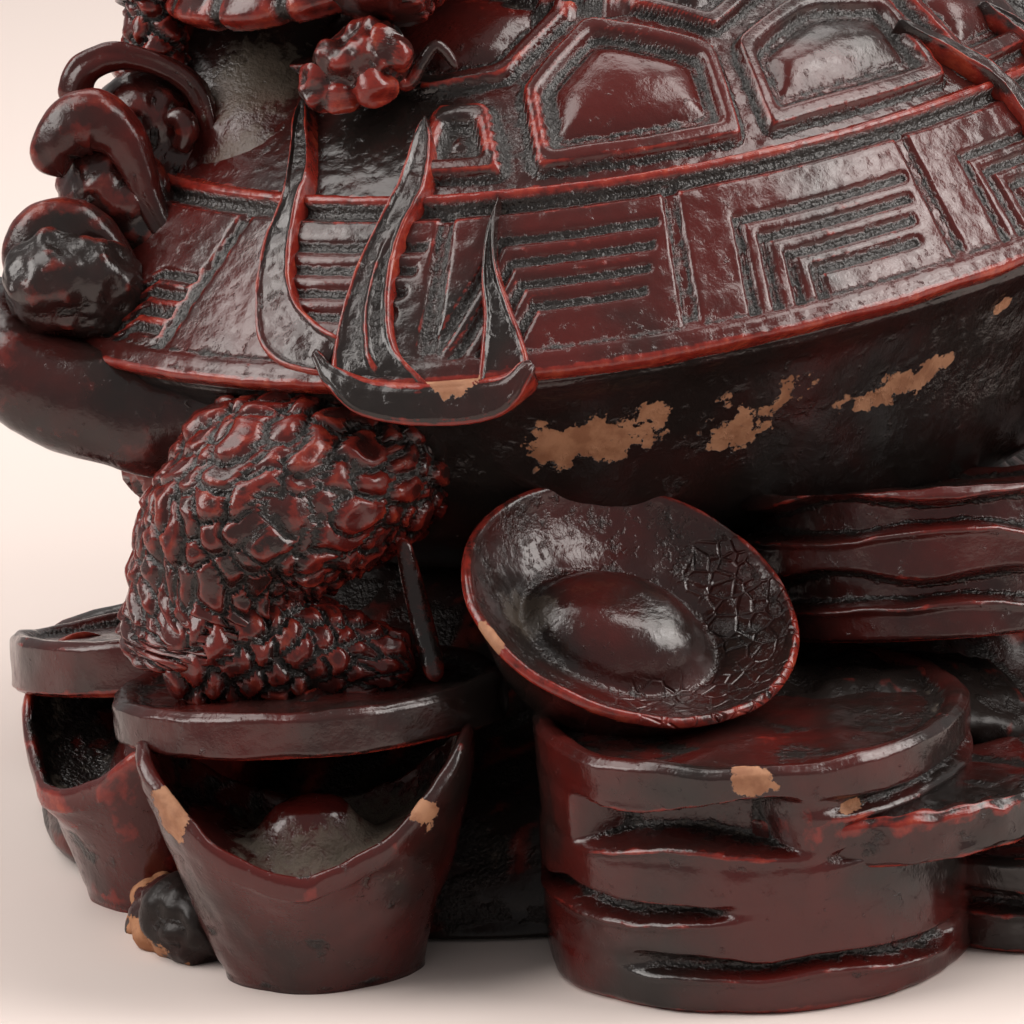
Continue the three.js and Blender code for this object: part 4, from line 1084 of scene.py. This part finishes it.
# The neck and head
# The neck rises from under the shell to a dragon's head that looks ahead, with brows, horns swept back,
# teeth, whiskers, a beard and tufts of mane. It is carved on the model like the rest.
BROW = np.array([0.0, -68.0, 91.0])
HEAD_LENGTH = 46.0
HALF_HEAD = 16.0
TEETH = 7
FANG = 5
NECK = [(0, -34, 52), (0, -46, 50), (0, -60, 55), (0, -66, 66), (0, -67, 78), (0, -66, 88)]
NECK_RADII = [14.5, 16.2, 15.8, 14.0, 12.6, 11.0]
SKULL = [(0.32, 0, 0.3, 4), (0.3, 0, 0.62, 8.4), (0.2, 0.5, 0.86, 10.4), (0.08, 1, 0.98, 11),
         (-0.08, 1, 0.96, 10.4), (-0.22, 0.5, 0.84, 8.8), (-0.36, -0.6, 0.68, 6.4),
         (-0.48, -1, 0.62, 5.4), (-0.6, -0.5, 0.7, 5.2), (-0.67, -0.8, 0.6, 4.2), (-0.705, -1.2, 0.3, 2)]
JAW = [(0.2, -7, 0.4, 3), (0.14, -8, 0.76, 4.8), (0.0, -10, 0.7, 4.2), (-0.15, -12, 0.62, 3.4),
       (-0.3, -13.6, 0.55, 3.0), (-0.42, -14.4, 0.48, 2.7), (-0.52, -13.8, 0.38, 2.2),
       (-0.56, -13.4, 0.16, 1.2)]


def bossed(rings, bosses):
    """Rings pushed out of or into the skull at round bosses: a centre from the brow, a size and a height."""
    outward = unit(rings - (BROW + (0, 0, -2)) * (1, 0, 1) - rings * (0, 1, 0))
    for centre, size, height in bosses:
        folded = np.abs(rings - BROW) * (1, 0, 0) + (rings - BROW) * (0, 1, 1)
        away = np.linalg.norm((folded - centre) / size, axis=-1)
        rings = rings + height * np.exp(-(away**2))[..., None] * outward
    return rings


def lofted(sections, around, steps):
    """Ellipses along the head, each a share of its length, a height, and half a width and a depth."""
    rows = smooth_path(sections, steps)
    turn = np.linspace(0, 2 * np.pi, around, endpoint=False)
    ahead, height, wide, deep = (rows[:, k, None] for k in range(4))
    return BROW + np.stack([wide * HALF_HEAD * np.cos(turn), ahead * HEAD_LENGTH + 0 * turn,
                            height + deep * np.sin(turn)], axis=-1)


def ball(centre, radii, around=28, steps=18):
    """A closed ellipsoid."""
    t = np.linspace(0.02, np.pi - 0.02, steps)[:, None]
    turn = np.linspace(0, 2 * np.pi, around, endpoint=False)
    shape = np.stack([np.sin(t) * np.cos(turn), np.sin(t) * np.sin(turn), np.cos(t) + 0 * turn], axis=-1)
    return skin(shape * np.array(radii) + np.array(centre))


def lock(length, girth, rings):
    """Grooves that run down a lock of hair."""
    return 0.32 * np.sin(girth * 2.6 + 0.25 * length) + 0.12 * grain(rings, 2.0, 81)


def ringed(length, girth, rings):
    """Rings round a horn, closer towards its tip."""
    return 0.28 * np.sin(length * 2.4) + 0.1 * grain(rings, 1.5, 82)


BOSSES = [((10.5, -3, 8.5), (4.5, 5.5, 3.5), 3.0), ((10.5, -8, 7.0), (3.4, 2.6, 2.4), -1.8),
          ((0, -20, 6.5), (3.2, 9, 4), 1.7), ((6.2, -29, 3.2), (3.2, 3.4, 3.2), 2.2),
          ((13.5, 2, -1), (5, 6, 4), 1.6), ((9.5, -16, -2.5), (3, 9, 1.6), 1.0),
          ((3.8, -27.5, 5.2), (1.2, 1.2, 1.2), -1.0)]
skull = bossed(lofted(SKULL, 110, 90), BOSSES)
skull += unit(skull - BROW) * (0.25 * grain(skull, 3.0, 83) + 0.12 * grain(skull, 1.2, 84))[..., None]
jaw = lofted(JAW, 60, 48)
jaw += unit(jaw - BROW) * (0.2 * grain(jaw, 2.0, 85))[..., None]
head = [limb(NECK, NECK_RADII, 90, 96, start=0.06, end=0.1, face=(0, -1, 0.2)), skin(skull), skin(jaw)]


def from_brow(*offsets):
    """Points from offsets to the brow."""
    return [tuple(BROW + np.array(offset)) for offset in offsets]


def to_side(side, *offsets):
    """Points from offsets to the brow, on the side with that sign."""
    return from_brow(*[(side * x, y, z) for x, y, z in offsets])


head.append(limb(from_brow((0, -4, -9.5), (0, -14, -9.6), (0, -23, -9.8), (0, -28, -7.6)),
                 [3.6, 4.0, 3.0, 1.0], 30, 24, flat=0.4, relief=None))
for side in (-1, 1):
    eye = BROW + (side * 9.9, -7.4, 7.4)
    head.append(ball(eye, (3.4, 3.4, 3.2)))
    head.append(limb(to_side(side, (4.6, -9.4, 9.2), (9.5, -11.0, 11.6), (13.8, -6.6, 9.4),
                             (14.6, -1, 6.6)), [1.2, 1.9, 1.9, 1.0], 34, 20, relief=lock))
    head.append(limb(to_side(side, (5.8, -10.4, 5.0), (9.6, -11.8, 4.2), (13.2, -8.4, 4.2),
                             (14.2, -4, 4.6)), [0.8, 1.1, 1.1, 0.7], 30, 16, relief=None))
    head.append(limb(to_side(side, (5, 4, 8), (8, 14, 15), (11, 27, 15), (12, 36, 20)),
                     [3.4, 2.8, 1.9, 0.6], 64, 22, start=0.03, relief=ringed))
    head.append(limb(to_side(side, (8.4, 15, 14.5), (9.4, 20, 19.5), (9.6, 25, 21)), [1.8, 1.4, 0.5], 30,
                     18, relief=ringed))
    head.append(limb(to_side(side, (11, 3, 3), (15.5, 8, 6), (17.5, 14, 11)), [3.0, 3.0, 0.6], 34, 22,
                     flat=0.5, relief=lock))
    for root, knee, tip, radius in (((9, 6, -2), (14, 12, 2), (15, 20, 8), 3.6),
                                    ((9, 7, -6), (15.5, 15, -4), (17.5, 24, 1), 3.6),
                                    ((8, 6, -11), (15, 13, -13), (17, 23, -8), 3.8),
                                    ((6, 5, -14), (12, 10, -20), (13.5, 18, -18), 3.2)):
        head.append(limb(to_side(side, root, knee, tip), [radius, radius * 0.8, 0.5], 34, 24, start=0.04,
                         flat=0.7, relief=lock))
    head.append(limb(to_side(side, (5, -23, -1), (10, -20, -5), (14, -10, -7), (15, -1, -16)),
                     [1.7, 1.5, 1.2, 0.6], 60, 16, relief=None))
    head.append(ball(BROW + (side * 5.8, -28.6, 3.4), (2.6, 2.9, 2.4), 20, 12))
    for k in range(TEETH):
        t = k / (TEETH - 1)
        size = 1.0 + 0.8 * (k == FANG)
        upper = (-4.0, -1.0, 10.4 - 2.6 * t, -6 - 21.5 * t)
        lower = (-11.0 - 1.8 * t, 1.0, 9.0 - 3.8 * t, -6 - 16.5 * t)
        for level, drop, half, ahead in (upper, lower):
            root = BROW + (side * half, ahead, level)
            tip = root + (side * 0.2, -0.2, drop * (2.1 * size + 0.3))
            head.append(limb([root, (root + tip) / 2, tip], [0.9 * size, 0.8 * size, 0.25], 10, 10,
                             relief=None))
    head.append(limb(to_side(side, (3.6, -10, -17.5), (4.4, -13, -23), (2.0, -10, -28)), [2.4, 1.9, 0.4],
                     40, 22, flat=0.7, relief=lock))
head.append(limb(from_brow((0, -6, -15), (0, -12, -22), (0, -8, -29)), [4.4, 3.2, 0.6], 46, 30, flat=0.7,
                 relief=lock))
for k in range(4):
    root = BROW + (0, 6 + 3.6 * k, 6 - 10 * k)
    head.append(limb([root, root + (0, 7, 3.5), root + (0, 11, 9)], [3.4, 2.6, 0.5], 40, 26, flat=0.55,
                     relief=lock))
cast("neck_and_head", head, lacquer("head_lacquer", red=0.5, worn=0.9, dusty=0.6))

# The young turtle
# A young dragon turtle lies along the top of the shell behind the neck and looks towards the head. One
# knobbly foot hangs over the rear scutes, and another limb reaches down to the tail's curls.
BABY_ANGLE = 84.0
BABY_REACH = 0.36
BABY_LIFT = 3.6
BABY_SIZES = (15.5, 19.0, 13.0)
BABY_PITCH = -14.0
BABY_YAW = -12.0
BABY_MARGIN = 0.82
BABY_ROW = 0.36
PAW_MIDDLE = (-6.2, 40.6, 71.0)
PAW_HOLES = [(-6.4, 42.2, 73.6), (-8.2, 40.6, 74.2), (-7.0, 41.4, 71.6)]
spot = plan(BABY_ANGLE, BABY_REACH)
BABY_AT = np.array([*spot, shell_top(spot) + BABY_LIFT]) + (4.0, 3.4, 0.0)
turn = np.linspace(0, 2 * np.pi, 110, endpoint=False)
rise = np.linspace(np.pi / 2 - 0.02, -0.14, 66)[:, None]
x, y = np.cos(rise) * np.cos(turn), np.cos(rise) * np.sin(turn)
half, long, tall = BABY_SIZES
far_out = np.hypot(x, y)
on_margin = 9 * ease(far_out, BABY_MARGIN - 0.02, BABY_MARGIN)
off_margin = 9 * (1 - ease(far_out, BABY_MARGIN, BABY_MARGIN + 0.02))
margin_seam = np.abs(far_out - BABY_MARGIN) * 14
row_seams = np.abs(np.abs(x) - BABY_ROW) * 14 + on_margin
cross_seams = np.abs((y * 2.4 + 0.5 * (np.abs(x) < BABY_ROW)) % 1 - 0.5) * 9 + on_margin
plate_seams = np.abs((np.degrees(turn) / 22.5) % 1 - 0.5) * 7 + off_margin
seams = np.stack([margin_seam, row_seams, cross_seams, plate_seams])
low = 0.62 * (1 - ease(seams.min(axis=0), 0.35, 1.0))
flare = 1 + 0.1 * np.exp(-(((rise + 0.02) / 0.13) ** 2))
shape = np.stack([half * flare * x, long * flare * y, tall * np.sin(rise) + 0 * turn], axis=-1)
shape = shape * (1 - (low / 16))[..., None]
shape += unit(shape) * (0.2 * grain(shape, 3.0, 91) + 0.08 * grain(shape, 1.1, 92))[..., None]
belly = [np.concatenate([shape[-1, :, :2] * share, np.full((len(turn), 1), level)], axis=1)
         for share, level in ((0.93, -1.8), (0.84, -1.4), (0.7, -1.6), (0.5, -2.4), (0.25, -3.0))]
shape = np.concatenate([shape, belly])
yawed = Matrix.Rotation(np.radians(BABY_YAW), 3, "Z")
pitched = np.array(yawed @ Matrix.Rotation(np.radians(BABY_PITCH), 3, "X"))
young = [skin(shape @ pitched.T + BABY_AT)]


def knobbly(length, girth, rings):
    """Knuckles and dents all over a paw, with a few deep holes."""
    holes = sum(np.exp(-(np.linalg.norm(rings - np.array(hole), axis=-1) / 0.75) ** 2)
                for hole in PAW_HOLES)
    return 0.9 * grain(rings, 2.2, 94) + 0.45 * grain(rings, 1.0, 95) - 1.4 * holes


def by_baby(*offsets):
    """Points from offsets to the middle of the young turtle."""
    return [tuple(BABY_AT + np.array(offset)) for offset in offsets]


young.append(limb([(-5.4, 31, 81), (-5.8, 36.0, 79.0), (-6.2, 38.8, 75.6)], [5.0, 4.8, 4.4], 48, 54))
young.append(limb([(-3.4, 42.8, 70.4), (-5.2, 41.2, 71.2), (-7.2, 39.2, 72.2), (-9.0, 37.6, 73.2)],
                  [2.2, 3.3, 3.4, 2.4], 84, 84, start=0.2, end=0.2, relief=knobbly))
for root, tip in (((-4.4, 42.7, 70.3), (-3.7, 43.9, 68.6)), ((-5.7, 41.9, 69.9), (-5.4, 42.8, 68.0)),
                  ((-7.6, 40.4, 70.4), (-7.8, 41.1, 68.7)), ((-8.5, 39.2, 72.6), (-9.4, 38.6, 74.0))):
    young.append(limb([root, (np.array(root) + tip) / 2 + (-0.3, 0.3, 0), tip], [2.4, 2.1, 1.2], 34, 32,
                      relief=knobbly))
young.append(limb([(-8.6, 38.8, 70.2), (-9.7, 37.9, 69.6), (-10.4, 36.8, 71.3), (-11.0, 35.7, 72.6),
                   (-11.7, 35.0, 71.9), (-12.4, 34.6, 70.4)],
                  [0.6, 0.6, 0.55, 0.55, 0.5, 0.35], 60, 16, relief=None))
young.append(limb([(10, 30, 79), (15.5, 36, 80), (18.6, 40.2, 78.6), (18.7, 41.0, 75.4),
                   (18.1, 42.0, 71.6), (17.4, 42.6, 68)],
                  [4.6, 4.0, 3.0, 2.6, 2.5, 2.4], 70, 44))
for side in (-1, 1):
    young.append(limb(by_baby((side * 11, -8, -1), (side * 16, -13, -5), (side * 19, -18, -10)),
                      [5.0, 4.2, 3.2], 36, 40))
young.append(limb(by_baby((0, -12, 0), (0, -20, 2.6), (0, -27, 8)), [6.0, 5.4, 5.0], 38, 46))
young.append(limb(by_baby((0, -21, 7.5), (0, -27, 10), (0, -33, 8), (0, -37, 7)), [4.4, 6.2, 4.8, 3.0],
                  50, 56, flat=0.85, relief=plain_swell))
for side in (-1, 1):
    young.append(ball(BABY_AT + (side * 4.0, -29.4, 11.6), (1.7, 1.7, 1.6), 18, 12))
    young.append(limb(by_baby((side * 2.4, -25, 13.4), (side * 3.4, -21, 16.4),
                              (side * 3.6, -16.5, 17.4)), [1.4, 1.1, 0.4], 26, 14, relief=ringed))
    young.append(limb(by_baby((side * 4.6, -24, 8), (side * 8, -20, 9.4), (side * 9.4, -16.5, 12)),
                      [1.8, 1.5, 0.4], 26, 16, flat=0.6, relief=lock))


def paw_wear(points):
    """Wear on the paw that sticks out behind."""
    return 0.7 * (1 - ease(np.linalg.norm(points - PAW_MIDDLE, axis=1), 4.0, 7.0))


cast("young_turtle", young, lacquer("young_lacquer", red=0.75, worn=0.9, dusty=0.8), edge=0.16,
     rubbed=paw_wear)

# The floor, the light and the camera
# A plain pale floor runs to the horizon. Two softboxes at each side, one above the other, and one behind
# give the lacquer its long soft reflections.
CAMERA_AT = (-317.6, 336.9, 142.0)
CAMERA_AZIMUTH = 225.0
CAMERA_ELEVATION = 14.5
CAMERA_ROLL = 4.0
FOCAL_PIXELS = 5040.0
PICTURE_PIXELS = 1024.0
SENSOR = 36.0
FLOOR_RADIUS = 4.0
FLOOR_COLOUR = (0.66, 0.582, 0.545, 1)
LIGHT_COLOUR = (1.0, 0.945, 0.905)
ROOM_COLOUR = (1.0, 0.95, 0.93, 1)
ROOM_STRENGTH = 0.34
LIGHT_AIM = 0.05

floor_mesh = bpy.data.meshes.new("floor")
turn = np.linspace(0, 2 * np.pi, 96, endpoint=False)
ring = np.stack([FLOOR_RADIUS * np.cos(turn), FLOOR_RADIUS * np.sin(turn), 0 * turn], axis=-1)
floor_mesh.from_pydata(ring.tolist(), [], [list(range(len(turn)))])
floor = bpy.data.objects.new("floor", floor_mesh)
bpy.context.collection.objects.link(floor)
cloth = bpy.data.materials.new("floor_cloth")
cloth.use_nodes = True
cloth_shader = cloth.node_tree.nodes["Principled BSDF"]
cloth_shader.inputs["Base Color"].default_value = FLOOR_COLOUR
cloth_shader.inputs["Roughness"].default_value = 0.9
cloth_shader.inputs["Specular IOR Level"].default_value = 0.1
floor.data.materials.append(cloth)


def outward_from(azimuth, elevation):
    """Direction from the figure at an azimuth and an elevation in degrees."""
    a, e = np.radians([azimuth, elevation])
    return np.array([np.sin(a) * np.cos(e), -np.cos(a) * np.cos(e), np.sin(e)])


def looking_in(back, at, roll=0.0):
    """Place of a lamp or a camera that looks against a direction, rolled about it by degrees."""
    level = unit(np.cross([0, 0, 1.0], back))
    upright = np.cross(back, level)
    roll = np.radians(roll)
    right = np.cos(roll) * level - np.sin(roll) * upright
    up = np.sin(roll) * level + np.cos(roll) * upright
    place = Matrix.Identity(4)
    for row in range(3):
        for column, axis in enumerate((right, up, back, at)):
            place[row][column] = axis[row]
    return place


def softbox(name, azimuth, elevation, distance, size, power):
    """An area light that looks at the figure from a direction in degrees."""
    light = bpy.data.lights.new(name, "AREA")
    light.shape = "RECTANGLE"
    light.size, light.size_y = size
    light.energy = power
    light.color = LIGHT_COLOUR
    lamp = bpy.data.objects.new(name, light)
    bpy.context.collection.objects.link(lamp)
    back = outward_from(azimuth, elevation)
    lamp.matrix_world = looking_in(back, back * distance + (0, 0, LIGHT_AIM))


softbox("softbox_left", 145, 32, 0.9, (0.5, 0.5), 5.0)
softbox("softbox_right", 300, 30, 0.9, (0.5, 0.5), 5.5)
softbox("softbox_upper_left", 130, 60, 0.9, (0.5, 0.5), 3.2)
softbox("softbox_upper_right", 320, 55, 0.9, (0.5, 0.5), 4.5)
softbox("softbox_back", 45, 50, 1.2, (0.9, 0.5), 3)
world = bpy.data.worlds.new("studio")
world.use_nodes = True
world.node_tree.nodes["Background"].inputs["Color"].default_value = ROOM_COLOUR
world.node_tree.nodes["Background"].inputs["Strength"].default_value = ROOM_STRENGTH
bpy.context.scene.world = world
bpy.context.scene.view_settings.view_transform = "Standard"

camera_data = bpy.data.cameras.new("camera")
camera_data.sensor_width = SENSOR
camera_data.lens = SENSOR * FOCAL_PIXELS / PICTURE_PIXELS
camera_data.clip_start = 0.01
camera = bpy.data.objects.new("camera", camera_data)
bpy.context.collection.objects.link(camera)
back = outward_from(CAMERA_AZIMUTH, CAMERA_ELEVATION)
camera.matrix_world = looking_in(back, np.array(CAMERA_AT) * MM, CAMERA_ROLL)
bpy.context.scene.camera = camera
